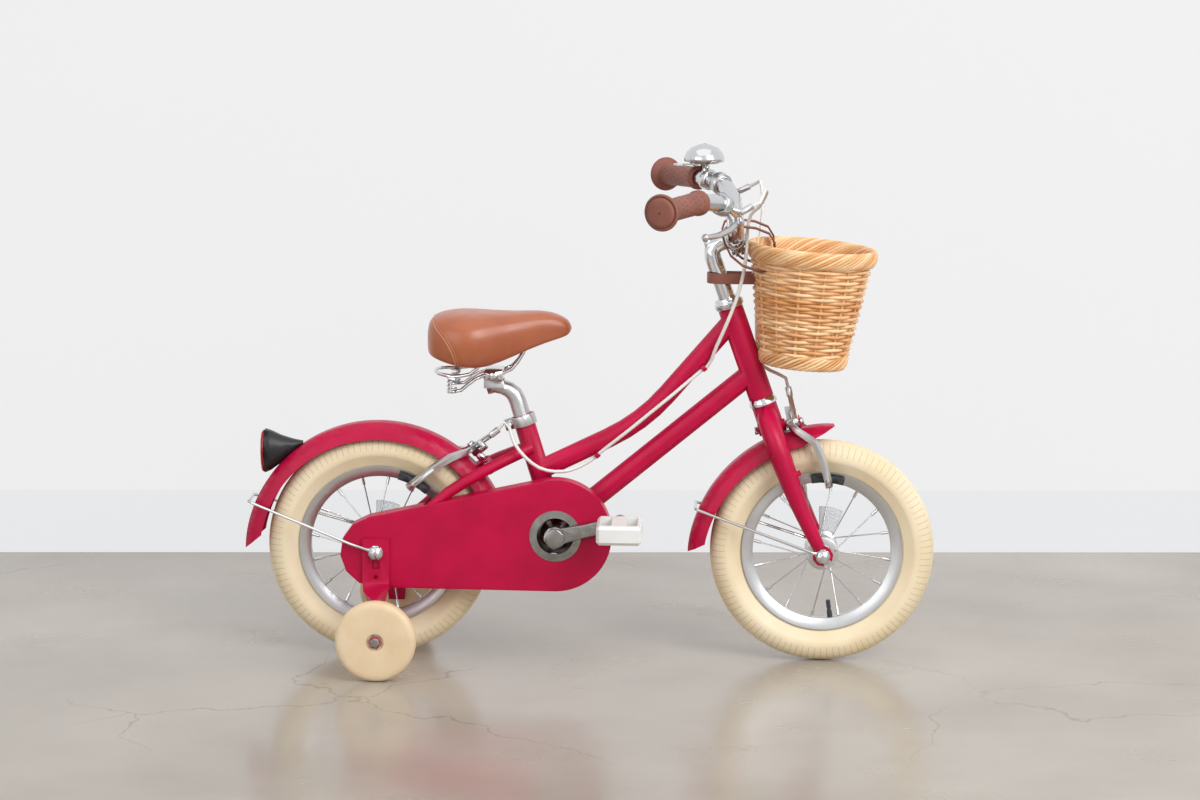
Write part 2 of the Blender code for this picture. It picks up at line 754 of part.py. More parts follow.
frame = rod("frame", seat_axis(0.0), seat_axis(SEAT_TUBE_LENGTH), SEAT_TUBE_D / 2, 12)
join(frame,
     rod("shell", BB - Vector((0, BB_SHELL_W / 2, 0)), BB + Vector((0, BB_SHELL_W / 2, 0)),
         BB_SHELL_R, 14),
     rod("down_tube", BB, steer_world(0, 0, DOWN_TUBE_HEAD_Z), DOWN_TUBE_D / 2, 10),
     tube("top_tube", fillet(TOP_TUBE_SEAT, TOP_TUBE_CORNER, TOP_TUBE_HEAD,
                             TOP_TUBE_BEND_R, 5), TOP_TUBE_D / 2, 10),
     rod("head_tube", steer_world(0, 0, HEAD_BOTTOM), steer_world(0, 0, HEAD_TOP),
         HEAD_TUBE_D / 2, 14))
for hand in (-1, 1):
    join(frame, chainstay(hand))
    join(frame, tube("seat_stay", seat_stay_path(hand), STAY_D / 2, 8, STAY_TAPER))
    join(frame, rear_dropout(hand))
join(frame, rod("bridge", BRIDGE - Vector((0, 0.029, 0)), BRIDGE + Vector((0, 0.029, 0)),
                BRIDGE_D / 2, 8))
for spot in (GUIDE_LOW, GUIDE_HIGH):
    join(frame, rod("guide", spot - GUIDE_RUN * GUIDE_LENGTH / 2,
                    spot + GUIDE_RUN * GUIDE_LENGTH / 2, CABLE_D / 2 + GUIDE_WALL, 6))
CASE_LUG_X = BB_X - 0.0563
CASE_LUG_W = 0.0180
CASE_LUG_T = 0.0018
lug_inner = CASE_INNER_Y - GAP - CASE_LUG_T
join(frame, block("case_lug", (CASE_LUG_X, -lug_inner - CASE_LUG_T / 2, BB.z - 0.0405),
                  (CASE_LUG_W, CASE_LUG_T, 0.0550)))
cut(frame,
    rod("seat_bore", seat_axis(0.0500), seat_axis(SEAT_TUBE_LENGTH + 0.01),
        SEAT_TUBE_BORE / 2, 12),
    rod("shell_bore", BB - Vector((0, 0.05, 0)), BB + Vector((0, 0.05, 0)), BB_BORE_R, 14),
    rod("head_bore", steer_world(0, 0, HEAD_BOTTOM - 0.01), steer_world(0, 0, HEAD_TOP + 0.01),
        HEAD_TUBE_BORE / 2, 14),
    rod("bridge_hole", BRIDGE - REAR_CAL_BOLT * 0.02, BRIDGE + REAR_CAL_BOLT * 0.02,
        CAL_BOLT_D / 2 + GAP, 8))
for spot in (GUIDE_LOW, GUIDE_HIGH):
    cut(frame, rod("guide_bore", spot - GUIDE_RUN * GUIDE_LENGTH,
                   spot + GUIDE_RUN * GUIDE_LENGTH, clear_of(CABLE_D / 2 + GUIDE_PLAY, 6), 6))
slot_r = AXLE_D / 2 + GAP
for hand in (-1, 1):
    cut(frame, rod("axle_hole", REAR_AXLE + Vector((0, hand * 0.042, 0)),
                   REAR_AXLE + Vector((0, hand * 0.060, 0)), slot_r, 8),
        block("axle_slot", REAR_AXLE + Vector((-0.015, hand * 0.05, 0)),
              (0.030, 0.016, 2 * slot_r)))
place(frame, CRIMSON)


# Axles: a threaded rod with locknuts inside the dropouts and nuts outside them
def axle(name, old, right_lock, left_lock, stay_t, nut_y, end_y, holder_mat, parent, turn):
    body = rod(name, (0, -end_y, 0), (0, end_y, 0), AXLE_D / 2, 8)
    for side, lock in ((-1, right_lock), (1, left_lock)):
        join(body, rod("locknut", (0, side * (old / 2 - lock), 0), (0, side * old / 2, 0),
                       LOCKNUT_R, 6),
             rod("nut", (0, side * nut_y, 0), (0, side * (nut_y + AXLE_NUT_T * 0.6), 0),
                 AXLE_NUT_R, 6),
             rod("dome", (0, side * (nut_y + AXLE_NUT_T * 0.5), 0),
                 (0, side * (nut_y + AXLE_NUT_T), 0), AXLE_NUT_R * 0.8, 8,
                 AXLE_NUT_R * 0.45))
    return place(body, holder_mat, parent, rotation=(0, turn, 0))


STAY_EYE_T = 0.0016
TRAINER_SPACER_R = 0.0100
DROPOUT_OUT = DROPOUT_T + GAP
FRONT_STAY_Y = FRONT_OLD / 2 + DROPOUT_OUT + GAP
FRONT_NUT_Y = FRONT_STAY_Y + STAY_EYE_T + GAP
TRAINER_SPACER_Y = REAR_OLD / 2 + DROPOUT_OUT + GAP
TRAINER_PLATE_Y = CASE_OUTER_Y + GAP
REAR_STAY_Y = TRAINER_PLATE_Y + TRAINER_PLATE_T + GAP
REAR_NUT_Y = REAR_STAY_Y + STAY_EYE_T + GAP
axle("front_axle", FRONT_OLD, LOCKNUT_T, LOCKNUT_T, STAY_EYE_T, FRONT_NUT_Y,
     FRONT_NUT_Y + AXLE_NUT_T * 0.8, CHROME, FRONT, -STEER_TILT)
back_axle = axle("rear_axle", REAR_OLD, AXLE_COLLAR, LOCKNUT_T, STAY_EYE_T, REAR_NUT_Y,
                 REAR_NUT_Y + AXLE_NUT_T * 0.8, CHROME, REAR, 0.0)
for hand in (-1, 1):
    collar = rod("collar", (0, hand * TRAINER_SPACER_Y, 0), (0, hand * CASE_OUTER_Y, 0),
                 TRAINER_SPACER_R, 10)
    collar.parent = REAR
    join(back_axle, collar)

# Fork, in the steering frame
CROWN_Z = -HEAD_CUP_T / 2 - GAP
DROP = Vector((FORK_RAKE, 0.0, -FORK_LENGTH))
STEERER_TOP = HEAD_TOP + UPPER_STACK_T - 0.002
CUP_SPLIT = HEAD_TOP + GAP + UPPER_STACK_T * 0.5
BLADE_X = -0.0005


def blade(side):
    """One leg of the unicrown fork, from the steerer's foot to its dropout."""
    spots = [(BLADE_X, 0.004, CROWN_Z - 0.0150), (BLADE_X, 0.018, CROWN_Z - 0.0155),
             (BLADE_X, 0.032, CROWN_Z - 0.0225), (BLADE_X, BLADE_Y - 0.002, CROWN_Z - 0.0400),
             (BLADE_X, BLADE_Y, CROWN_Z - 0.0650),
             (BLADE_X + 0.0010, BLADE_Y, 0.0974 - FORK_LENGTH),
             (BLADE_X + 0.0040, BLADE_Y, 0.0524 - FORK_LENGTH),
             (FORK_RAKE - 0.0012, BLADE_Y, 0.0114 - FORK_LENGTH)]
    path = smooth([(x, side * y, z) for x, y, z in spots], 9)
    thin = BLADE_TIP_D / BLADE_TOP_D
    taper = [1 - (1 - thin) * max(0.0, (i - 3) / 5) for i in range(9)]
    return tube("blade", path, BLADE_TOP_D / 2, 8, taper)


def front_dropout(side):
    """A ring round the axle, open ahead below, with a tongue up into the blade."""
    mouth = radians(-75)
    outer = arc((0, 0), FRONT_DROPOUT_R, mouth + radians(25), mouth + radians(335), 9)
    slot = FRONT_AXLE_R * 1.05
    inner = arc((0, 0), slot, mouth + radians(325), mouth + radians(35), 7)
    ring = plate("dropout", [outer + inner], DROPOUT_T)
    tongue = plate("tongue", [[(-0.0055, 0.0085), (0.0055, 0.0085), (0.0055, 0.0280),
                               (-0.0055, 0.0280)]], DROPOUT_T)
    join(ring, tongue)
    inner_y = FRONT_OLD / 2 + GAP
    lift = (0, inner_y if side > 0 else -inner_y - DROPOUT_T, 0)
    ring.data.transform(Matrix.Translation(DROP + Vector(lift)))
    return ring


FRONT_AXLE_R = AXLE_D / 2 + GAP
FRONT_CAL = from_race(0.0410, 0.0, -0.0294)
FRONT_CAL_BOLT = Vector((-0.9730, 0.0, -0.2308)).normalized()
FRONT_CAL_DOWN = Vector((-FRONT_CAL_BOLT.z, 0.0, FRONT_CAL_BOLT.x))
fork_cal = steer_local(FRONT_CAL)
fork_bolt = STEER_TURN.transposed() @ FRONT_CAL_BOLT
FRONT_SEAT = (0.0100, 0.0470)
CROWN_FOOT = -0.0460

fork = rod("fork", (0, 0, CROWN_FOOT + 0.004), (0, 0, STEERER_TOP), STEERER_D / 2, 12)
join(fork, rod("crown", (0, 0, CROWN_FOOT), (0, 0, CROWN_Z), 0.0168, 12))
for hand in (-1, 1):
    join(fork, blade(hand))
    join(fork, front_dropout(hand))
join(fork, rod("calliper_seat", fork_cal + fork_bolt * FRONT_SEAT[0],
               fork_cal + fork_bolt * FRONT_SEAT[1], 0.0085, 8))
EYELET = Vector((0.0135, 0.0, -0.1010))
for hand in (-1, 1):
    join(fork, rod("eyelet", EYELET + Vector((-0.008, hand * BLADE_Y, 0)),
                   EYELET + Vector((0.0045, hand * BLADE_Y, 0)), 0.0040, 6))
cut(fork,
    rod("steerer_bore", (0, 0, CROWN_Z + 0.012), (0, 0, STEERER_TOP + 0.01),
        STEERER_BORE / 2, 12),
    rod("bolt_hole", fork_cal + fork_bolt * 0.01, fork_cal + fork_bolt * 0.075,
        CAL_BOLT_D / 2 + GAP, 8))
place(fork, CRIMSON, STEER)

# Headset: a cup at each end of the head tube, and the fork's locknut on top
HEADSET_SIDES = 14
bore = clear_of(STEERER_D / 2, HEADSET_SIDES)
cup_r = HEAD_CUP_D / 2


def along_z(obj):
    obj.data.transform(Matrix.Rotation(pi / 2, 4, "X"))
    return obj


lower = [(bore, -HEAD_CUP_T / 2), (cup_r, -HEAD_CUP_T / 2), (cup_r, -0.001),
         (cup_r - 0.0022, HEAD_CUP_T / 2), (bore, HEAD_CUP_T / 2)]
place(along_z(turned("headset_lower_cup", lower, HEADSET_SIDES)), CHROME, STEER)
cup_foot = HEAD_TOP + GAP
upper = [(bore, cup_foot), (cup_r - 0.0022, cup_foot), (UPPER_STACK_D / 2, cup_foot + 0.003),
         (UPPER_STACK_D / 2, CUP_SPLIT - GAP), (bore, CUP_SPLIT - GAP)]
place(along_z(turned("headset_upper_cup", upper, HEADSET_SIDES)), CHROME, STEER)
nut_top = HEAD_TOP + UPPER_STACK_T
quill_bore = clear_of(QUILL_D / 2, HEADSET_SIDES)
locknut = [(bore, CUP_SPLIT), (UPPER_STACK_D / 2, CUP_SPLIT),
           (UPPER_STACK_D / 2, CUP_SPLIT + 0.002), (0.0172, CUP_SPLIT + 0.003),
           (0.0172, nut_top - 0.001), (0.0155, nut_top), (quill_bore, nut_top),
           (quill_bore, STEERER_TOP + GAP), (bore, STEERER_TOP + GAP)]
place(along_z(turned("headset_locknut", locknut, HEADSET_SIDES)), CHROME, STEER)


# Mudguards: a rolled section swept on an arc about the wheel
def guard_section(radius, angle, centre):
    """Outer points of the rolled sheet, then the same ones inside."""
    marks = [(-1.0, 1.0), (-0.86, 0.50), (-0.45, 0.12), (0.45, 0.12), (0.86, 0.50),
             (1.0, 1.0)]
    flat = [(v * GUARD_HALF_W, radius - (d - 0.12) * GUARD_CROWN_H) for v, d in marks]
    inner = [(v * (GUARD_HALF_W - GUARD_T), r - GUARD_T * (1.0 - d))
             for (v, d), (_, r) in zip(marks, flat)]
    return [(centre[0] + r * cos(angle), y, centre[1] + r * sin(angle))
            for y, r in flat + inner[::-1]]


def mudguard(name, radius, dx, dz, start, end, count):
    angles = [start + (end - start) * i / (count - 1) for i in range(count)]
    return loft(name, [guard_section(radius, angle, (dx, dz)) for angle in angles])


rear_guard = mudguard("rear_mudguard", REAR_GUARD_R, REAR_GUARD_DX, REAR_GUARD_DZ,
                      REAR_GUARD_FROM, REAR_GUARD_TO, REAR_GUARD_RINGS)
front_guard = mudguard("front_mudguard", FRONT_GUARD_R, FRONT_GUARD_DX, FRONT_GUARD_DZ,
                       FRONT_GUARD_FROM, FRONT_GUARD_TO, 11)


def trim(guard, tip, edge, reach=0.026):
    """Cuts the end of a mudguard along the slanted line from its tip to its edges."""
    tip, edge = Vector((tip[0], 0.0, tip[1])), Vector((edge[0], 0.0, edge[1]))
    along = (edge - tip).normalized()
    off = Vector((-along.z, 0.0, along.x))
    if off.z > 0:
        off = -off
    middle = tip + along * ((edge - tip).length + reach - 0.020) / 2 + off * 0.030
    turn = Matrix((along, Vector((0, 1, 0)), along.cross(Vector((0, 1, 0))))).transposed()
    return cut(guard, block("trim", middle, ((edge - tip).length + reach + 0.020, 0.08, 0.06),
                            turn))


trim(rear_guard, (-TYRE_R - 0.0304, -0.0060), (-TYRE_R - 0.0025, 0.0180), 0.006)
trim(front_guard, (0.0187, TYRE_R + 0.0223), (-0.0260, TYRE_R - 0.0040), 0.020)
trim(front_guard, (-TYRE_R - 0.0306, -0.0032), (-TYRE_R - 0.0080, 0.0090), 0.006)


def guard_tab(guard, cal, down, bolt, base, along):
    """A tab on the mudguard's crown that the calliper bolt passes through."""
    turn = Matrix((down, down.cross(Vector((0, 1, 0))).cross(down), bolt)).transposed()
    middle = cal - base + bolt * along
    join(guard, block("tab", middle + down * 0.0036, (0.0230, 0.0110, TAB_T), turn))
    return cut(guard, rod("tab_hole", middle - bolt * 0.01, middle + bolt * 0.01,
                          CAL_BOLT_D / 2 + GAP, 8))


TAB_T = 0.0018
REAR_TAB_ALONG = 0.0185
FRONT_TAB_ALONG = -CAL_ARM_T - 0.0014 - TAB_T / 2
guard_tab(rear_guard, REAR_CAL, REAR_CAL_DOWN, REAR_CAL_BOLT, REAR_AXLE, REAR_TAB_ALONG)
guard_tab(front_guard, FRONT_CAL, FRONT_CAL_DOWN, FRONT_CAL_BOLT, FRONT_AXLE,
          FRONT_TAB_ALONG)
place(rear_guard, CRIMSON, REAR)
place(front_guard, CRIMSON, FRONT, rotation=(0, -STEER_TILT, 0))


# Mudguard stays: a bent wire over the wheel, with an eye at each axle end
def stay_wire(name, top, eye_y, eye_r, guard_y, clear_r):
    """One wire: eye, leg, bridge across the mudguard's outside, leg, eye.

    The legs stay outside eye_y, the eyes' inner face, out to clear_r from the axle.
    """
    top = Vector((top[0], 0.0, top[1]))
    run = top.normalized()
    across = run.cross(Vector((0, 1, 0)))
    leg_y = Vector((0, eye_y + STAY_WIRE_D / 2, 0))
    half = [run * (eye_r + 0.0045) + leg_y, run * clear_r + leg_y,
            top * 0.97 + Vector((0, guard_y + 0.0008, 0)),
            top + Vector((0, guard_y - 0.0035, 0)), top + Vector((0, guard_y * 0.45, 0))]
    path = half + [Vector((p.x, -p.y, p.z)) for p in half[::-1]]
    body = tube(name, path, STAY_WIRE_D / 2, 6)
    for side in (-1, 1):
        faces = [Vector((0, side * y, 0)) for y in (eye_y, eye_y + STAY_EYE_T)]
        corners = [run * eye_r * 0.6 + across * w for w in (-0.003, 0.003)]
        corners += [run * (eye_r + 0.010) + across * w for w in (-0.002, 0.002)]
        join(body, rod("eye", *faces, eye_r + 0.0048, 10),
             hull("neck", [corner + face for corner in corners for face in faces]))
    return cut(body, rod("eye_hole", (0, -0.1, 0), (0, 0.1, 0), eye_r, 10))


stay_r = AXLE_D / 2 + GAP
place(stay_wire("rear_mudguard_stay", (-TYRE_R - 0.0240, 0.0600), REAR_STAY_Y, stay_r,
                GUARD_HALF_W + 0.0022, 0.0360), CHROME, REAR)
place(stay_wire("front_mudguard_stay", (-TYRE_R - 0.0200, 0.0580), FRONT_STAY_Y, stay_r,
                GUARD_HALF_W + 0.0022, 0.0175), CHROME, FRONT, rotation=(0, -STEER_TILT, 0))

# Rear lamp: a horn-shaped housing on the mudguard, with a lens behind
LAMP_SEAT = REAR_AXLE + polar(REAR_GUARD_R, radians(139.0))
LAMP_BACK_X = LAMP_SEAT.x - 0.0190
LAMP_LENS_T = 0.0045
LAMP_TOP_Z = LAMP_SEAT.z + 0.0376
LAMP_LOW_Z = LAMP_SEAT.z - 0.0238


def lamp_ring(x, low, high, half_w):
    """A rounded section square to X, narrower at its foot."""
    middle, half_h = (low + high) / 2, (high - low) / 2
    ring = []
    for i in range(10):
        a = 2 * pi * i / 10
        squeeze = 1.0 + 0.18 * sin(a)
        ring.append((x, half_w * squeeze * cos(a), middle + half_h * sin(a)))
    return ring


lamp = loft("rear_lamp_housing", [
    lamp_ring(LAMP_BACK_X, LAMP_LOW_Z, LAMP_TOP_Z, 0.0210),
    lamp_ring(LAMP_BACK_X + 0.0085, LAMP_LOW_Z + 0.004, LAMP_TOP_Z - 0.003, 0.0195),
    lamp_ring(LAMP_BACK_X + 0.0215, LAMP_LOW_Z + 0.014, LAMP_TOP_Z - 0.009, 0.0150),
    lamp_ring(LAMP_BACK_X + 0.0375, LAMP_LOW_Z + 0.028, LAMP_TOP_Z - 0.014, 0.0100),
    lamp_ring(LAMP_BACK_X + 0.0505, LAMP_LOW_Z + 0.040, LAMP_TOP_Z - 0.0165, 0.0060)])
guard_step = (REAR_GUARD_TO - REAR_GUARD_FROM) / (REAR_GUARD_RINGS - 1)
guard_turns = [REAR_GUARD_FROM + guard_step * i for i in range(REAR_GUARD_RINGS)]
seat_r = REAR_GUARD_R + GAP / cos(guard_step / 2)
guard_mid = (REAR_GUARD_DX, TYRE_R + REAR_GUARD_DZ)
under = plate("under", [[guard_mid] + [(guard_mid[0] + seat_r * cos(a),
                                        guard_mid[1] + seat_r * sin(a))
                                       for a in guard_turns]], 0.10)
under.data.transform(Matrix.Translation((0, -0.05, 0)))
cut(lamp, under)
place(lamp, BLACK)
lens_x = LAMP_BACK_X - GAP - LAMP_LENS_T
lens = loft("rear_lamp_lens", [
    lamp_ring(LAMP_BACK_X - GAP, LAMP_LOW_Z + 0.001, LAMP_TOP_Z - 0.001, 0.0202),
    lamp_ring(lens_x + 0.0015, LAMP_LOW_Z + 0.002, LAMP_TOP_Z - 0.002, 0.0196),
    lamp_ring(lens_x, LAMP_LOW_Z + 0.005, LAMP_TOP_Z - 0.005, 0.0170)][::-1])
place(lens, RED_LENS)


# Chain case: a shallow pan round both ends of the drive, open towards the wheel
CASE_AXIS = BB - REAR_AXLE
CASE_RUN = hypot(CASE_AXIS.x, CASE_AXIS.z)
CASE_SLOPE = atan2(CASE_AXIS.z, CASE_AXIS.x)


def case_outline(inset, count=7):
    """Outline round the rear axle and the bottom bracket, from the rear axle."""
    lean = asin((CASE_FRONT_R - CASE_REAR_R) / CASE_RUN)
    up, down = CASE_SLOPE + pi / 2 + lean, CASE_SLOPE - pi / 2 - lean
    rear = arc((0.0, 0.0), CASE_REAR_R - inset, up, down + 2 * pi, count)
    front = arc((CASE_AXIS.x, CASE_AXIS.z), CASE_FRONT_R - inset, down, up, count + 4)
    return rear + front


def pan(inset, outer_y, inner_y):
    body = plate("pan", [case_outline(inset)], outer_y - inner_y)
    body.data.transform(Matrix.Translation((0, -outer_y, 0)))
    return body


case = pan(0.0016, CASE_OUTER_Y, CASE_OUTER_Y - 0.0026)
case.name = "chain_case"
join(case, pan(0.0, CASE_OUTER_Y - 0.0007, CASE_INNER_Y))
cut(case, pan(CASE_WALL, CASE_OUTER_Y - CASE_WALL, CASE_INNER_Y - 0.01))
lip_z = BB.z - CASE_FRONT_R + 0.0065 - TYRE_R
join(case, block("lip", (CASE_LUG_X, -CASE_INNER_Y - 0.0006, lip_z),
                 (CASE_LUG_W, 0.0012, 0.0120)))
for path_shift in (0.0, 0.0110, 0.0220):
    spots = [p - REAR_AXLE + Vector((0, path_shift, 0)) for p in seat_stay_path(-1)[4:]]
    cut(case, tube("stay_notch", spots, STAY_D / 2 + 0.0012, 8))
cut(case, rod("axle_window", (0, -0.03, 0), (0, -0.08, 0), clear_of(TRAINER_SPACER_R, 10), 10),
    rod("crank_window", CASE_AXIS - Vector((0, 0.03, 0)), CASE_AXIS - Vector((0, 0.08, 0)),
        CASE_WINDOW_R, 20))
place(case, CRIMSON, REAR)
ring_r = CASE_WINDOW_R - GAP
flange_r = CASE_WINDOW_R + 0.0015
ring = turned("chain_case_ring", [
    (CASE_RING_IN_R, -CASE_OUTER_Y - CASE_RING_PROUD), (flange_r, -CASE_OUTER_Y - 0.0012),
    (flange_r, -CASE_OUTER_Y - GAP), (ring_r, -CASE_OUTER_Y - GAP),
    (ring_r, -CASE_OUTER_Y + CASE_WALL + 0.0015),
    (CASE_RING_IN_R, -CASE_OUTER_Y + CASE_WALL)], 20)
place(ring, GREY_STEEL, CRANKS)

# Chain drive: two sprockets and the chain about them
RING_PITCH_R = CHAIN_PITCH / 2 / sin(pi / CHAINRING_TEETH)
SPROCKET_PITCH_R = CHAIN_PITCH / 2 / sin(pi / SPROCKET_TEETH)
TOOTH_TIP = 0.0012
TOOTH_ROOT = 0.0040


def toothed(pitch_r, teeth, phase):
    """Outline of a sprocket with pointed teeth."""
    outline = []
    for k in range(teeth):
        middle = phase + 2 * pi * k / teeth
        step = 2 * pi / teeth
        for share, radius in ((0.0, pitch_r + TOOTH_TIP), (0.5, pitch_r - TOOTH_ROOT)):
            angle = middle + share * step
            outline.append((radius * cos(angle), radius * sin(angle)))
    return outline


def sprocket(name, pitch_r, teeth, phase, hole_r, hole_count, windows=()):
    body = plate(name, [toothed(pitch_r, teeth, phase), circle((0, 0), hole_r, hole_count),
                        *windows], TOOTH_T)
    body.data.transform(Matrix.Translation((0, CHAIN_Y - TOOTH_T / 2, 0)))
    return body


def chain_path():
    """Centre line of the chain: an arc round each sprocket and a straight run between."""
    lean = asin((RING_PITCH_R - SPROCKET_PITCH_R) / CASE_RUN)
    up, down = CASE_SLOPE + pi / 2 + lean, CASE_SLOPE - pi / 2 - lean
    rear = arc((0.0, 0.0), SPROCKET_PITCH_R, up, down + 2 * pi, 13)
    front = arc((CASE_AXIS.x, CASE_AXIS.z), RING_PITCH_R, down, up, 19)
    return [Vector((x, 0.0, z)) for x, z in rear + front]


def chain_loop(name):
    """The chain as a channel: two side plates and, outside, the rollers' web."""
    spots = chain_path()
    rings = []
    half_w, half_h = CHAIN_W / 2, CHAIN_H / 2
    groove = TOOTH_T / 2 + 0.0008
    marks = [(half_w, half_h), (-half_w, half_h), (-half_w, -half_h), (-groove, -half_h),
             (-groove, TOOTH_TIP + 0.0008), (groove, TOOTH_TIP + 0.0008), (groove, -half_h),
             (half_w, -half_h)]
    for i, spot in enumerate(spots):
        tangent = (spots[(i + 1) % len(spots)] - spots[i - 1]).normalized()
        out = tangent.cross(Vector((0, 1, 0)))
        out = out if out.dot(spot - CASE_AXIS / 2) > 0 else -out
        rings.append([spot + Vector((0, CHAIN_Y + u, 0)) + out * v for u, v in marks])
    return loft(name, rings, closed=True)


place(chain_loop("chain"), GREY_STEEL, REAR)
freewheel = sprocket("freewheel", SPROCKET_PITCH_R, SPROCKET_TEETH, 0.0,
                     clear_of(REAR_BOSS_R, 12), 12)
body_r = SPROCKET_PITCH_R - TOOTH_ROOT - 0.0030
cover = [(clear_of(REAR_BOSS_R, 12), CHAIN_Y + 0.0060), (body_r, CHAIN_Y + 0.0060),
         (body_r, CHAIN_Y - 0.0042), (clear_of(REAR_BOSS_R, 12), CHAIN_Y - 0.0042)]
join(freewheel, turned("freewheel_body", cover, 12))
place(freewheel, GREY_STEEL, REAR)

# Bottom bracket and cranks
flange_y = BB_SHELL_W / 2 + GAP
bracket = [(CRANK_AXLE_D / 2 + GAP, flange_y + 0.0020), (0.0185, flange_y + 0.0020),
           (0.0185, flange_y), (BB_BORE_R - GAP, flange_y)]
bracket += [(r, -y) for r, y in bracket[::-1]]
place(turned("bottom_bracket", bracket, 14), GREY_STEEL, CRANKS)


def crank_arm(name, side, inner_y):
    """A tapering arm with round ends, lofted along its length."""
    spots = [Vector((CRANK_LENGTH * t, side * (inner_y + CRANK_ARM_T / 2), 0.0))
             for t in (0.0, 0.4, 1.0)]
    arm = band(name, spots, [0.0230, 0.0180, 0.0170], CRANK_ARM_T, (0, 1, 0), 0.18)
    for x, radius in ((0.0, 0.0150), (CRANK_LENGTH, 0.0105)):
        join(arm, rod("boss", (x, side * (inner_y - 0.0004), 0),
                      (x, side * (inner_y + CRANK_ARM_T + 0.0004), 0), radius, 10))
    outer_y = inner_y + CRANK_ARM_T
    return join(arm, rod("pedal_spindle", (CRANK_LENGTH, side * (outer_y - 0.002), 0),
                         (CRANK_LENGTH, side * (outer_y + PEDAL_GAP + PEDAL_W - 0.008), 0),
                         PEDAL_SPINDLE_D / 2, 8))


arm_y = CRANK_ARM_Y - CRANK_ARM_T / 2
ring_inner = RING_PITCH_R - TOOTH_ROOT - 0.0060
window_r = (0.0215 + ring_inner) / 2
windows = []
for k in range(5):
    at = 2 * pi * (k + 0.5) / 5
    windows.append(circle((window_r * cos(at), window_r * sin(at)), 0.0080, 7))
crank_right = sprocket("crank_right", RING_PITCH_R, CHAINRING_TEETH, pi / CHAINRING_TEETH,
                       0.0200, 12, windows)
hub_profile = [(CRANK_AXLE_D / 2 + GAP, CHAIN_Y + 0.0010), (0.0215, CHAIN_Y + 0.0010),
               (0.0215, CHAIN_Y - 0.0030), (0.0140, -CASE_OUTER_Y + 0.0060),
               (0.0140, -arm_y - 0.0015), (CRANK_AXLE_D / 2 + GAP, -arm_y - 0.0015)]
join(crank_right, turned("spider", hub_profile, 12))
arm = crank_arm("arm", -1, arm_y)
join(crank_right, arm)
cut(crank_right, rod("spindle_hole", (0, -CHAIN_Y * 0.5, 0), (0, -arm_y - CRANK_ARM_T - 0.01, 0),
                     CRANK_AXLE_D / 2 + GAP, 12))
crank_left = crank_arm("crank_left", 1, LEFT_CRANK_Y)
crank_left.data.transform(Matrix.Rotation(pi, 4, "Y"))
crank_left.data.update()
cap_y = -arm_y - CRANK_ARM_T
spindle = rod("spindle", (0, cap_y - 0.0030, 0), (0, LEFT_CRANK_Y + CRANK_ARM_T, 0),
              CRANK_AXLE_D / 2, 12)
join(crank_left, spindle)
join(crank_left, rod("cap", (0, cap_y - 0.0045, 0), (0, cap_y - 0.0004 - GAP, 0), 0.0125, 10))
CRANK_TURN = (0.0, -CRANK_ANGLE, 0.0)
place(crank_right, GREY_STEEL, CRANKS, rotation=CRANK_TURN)
place(crank_left, GREY_STEEL, CRANKS, rotation=CRANK_TURN)


# Pedals, each on the spindle at the end of its crank
def pedal(name, side, arm_outer_y, parent):
    """A slotted block on a spine that holds the spindle, with a reflector at each end."""
    inner_y = arm_outer_y + PEDAL_GAP
    middle = side * (inner_y + PEDAL_W / 2)
    body = block(name, (0, middle, 0), (PEDAL_L, PEDAL_W, PEDAL_T), chamfer=0.004)
    for end in (-1, 1):
        x = end * (PEDAL_L / 4 + 0.0022)
        cut(body, block("slot", (x, middle, 0), (0.0140, PEDAL_W - 0.022, PEDAL_T + 0.01)))
        cut(body, block("waist", (end * PEDAL_L / 2, middle, 0),
                        (0.0060, PEDAL_W - 0.030, 0.0100)))
    return cut(body, rod("bore", (0, side * (inner_y - 0.01), 0),
                         (0, side * (inner_y + PEDAL_W - 0.006), 0),
                         PEDAL_SPINDLE_D / 2 + GAP, 10))


for hand, label, outer in ((-1, "right", arm_y + CRANK_ARM_T),
                           (1, "left", LEFT_CRANK_Y + CRANK_ARM_T)):
    spot = polar(CRANK_LENGTH, CRANK_ANGLE) * -hand
    place(pedal("pedal_" + label, hand, outer, CRANKS), WHITE, CRANKS, location=spot)

# Training wheels on slotted brackets that the rear axle's nuts clamp
TRAINER_HUB_Y = TRAINER_OUT_Y - TRAINER_W
TRAINER_BOLT_R = 0.0040
TRAINER_HEAD_R = 0.0080
TRAINER_DEPTH = 0.0050


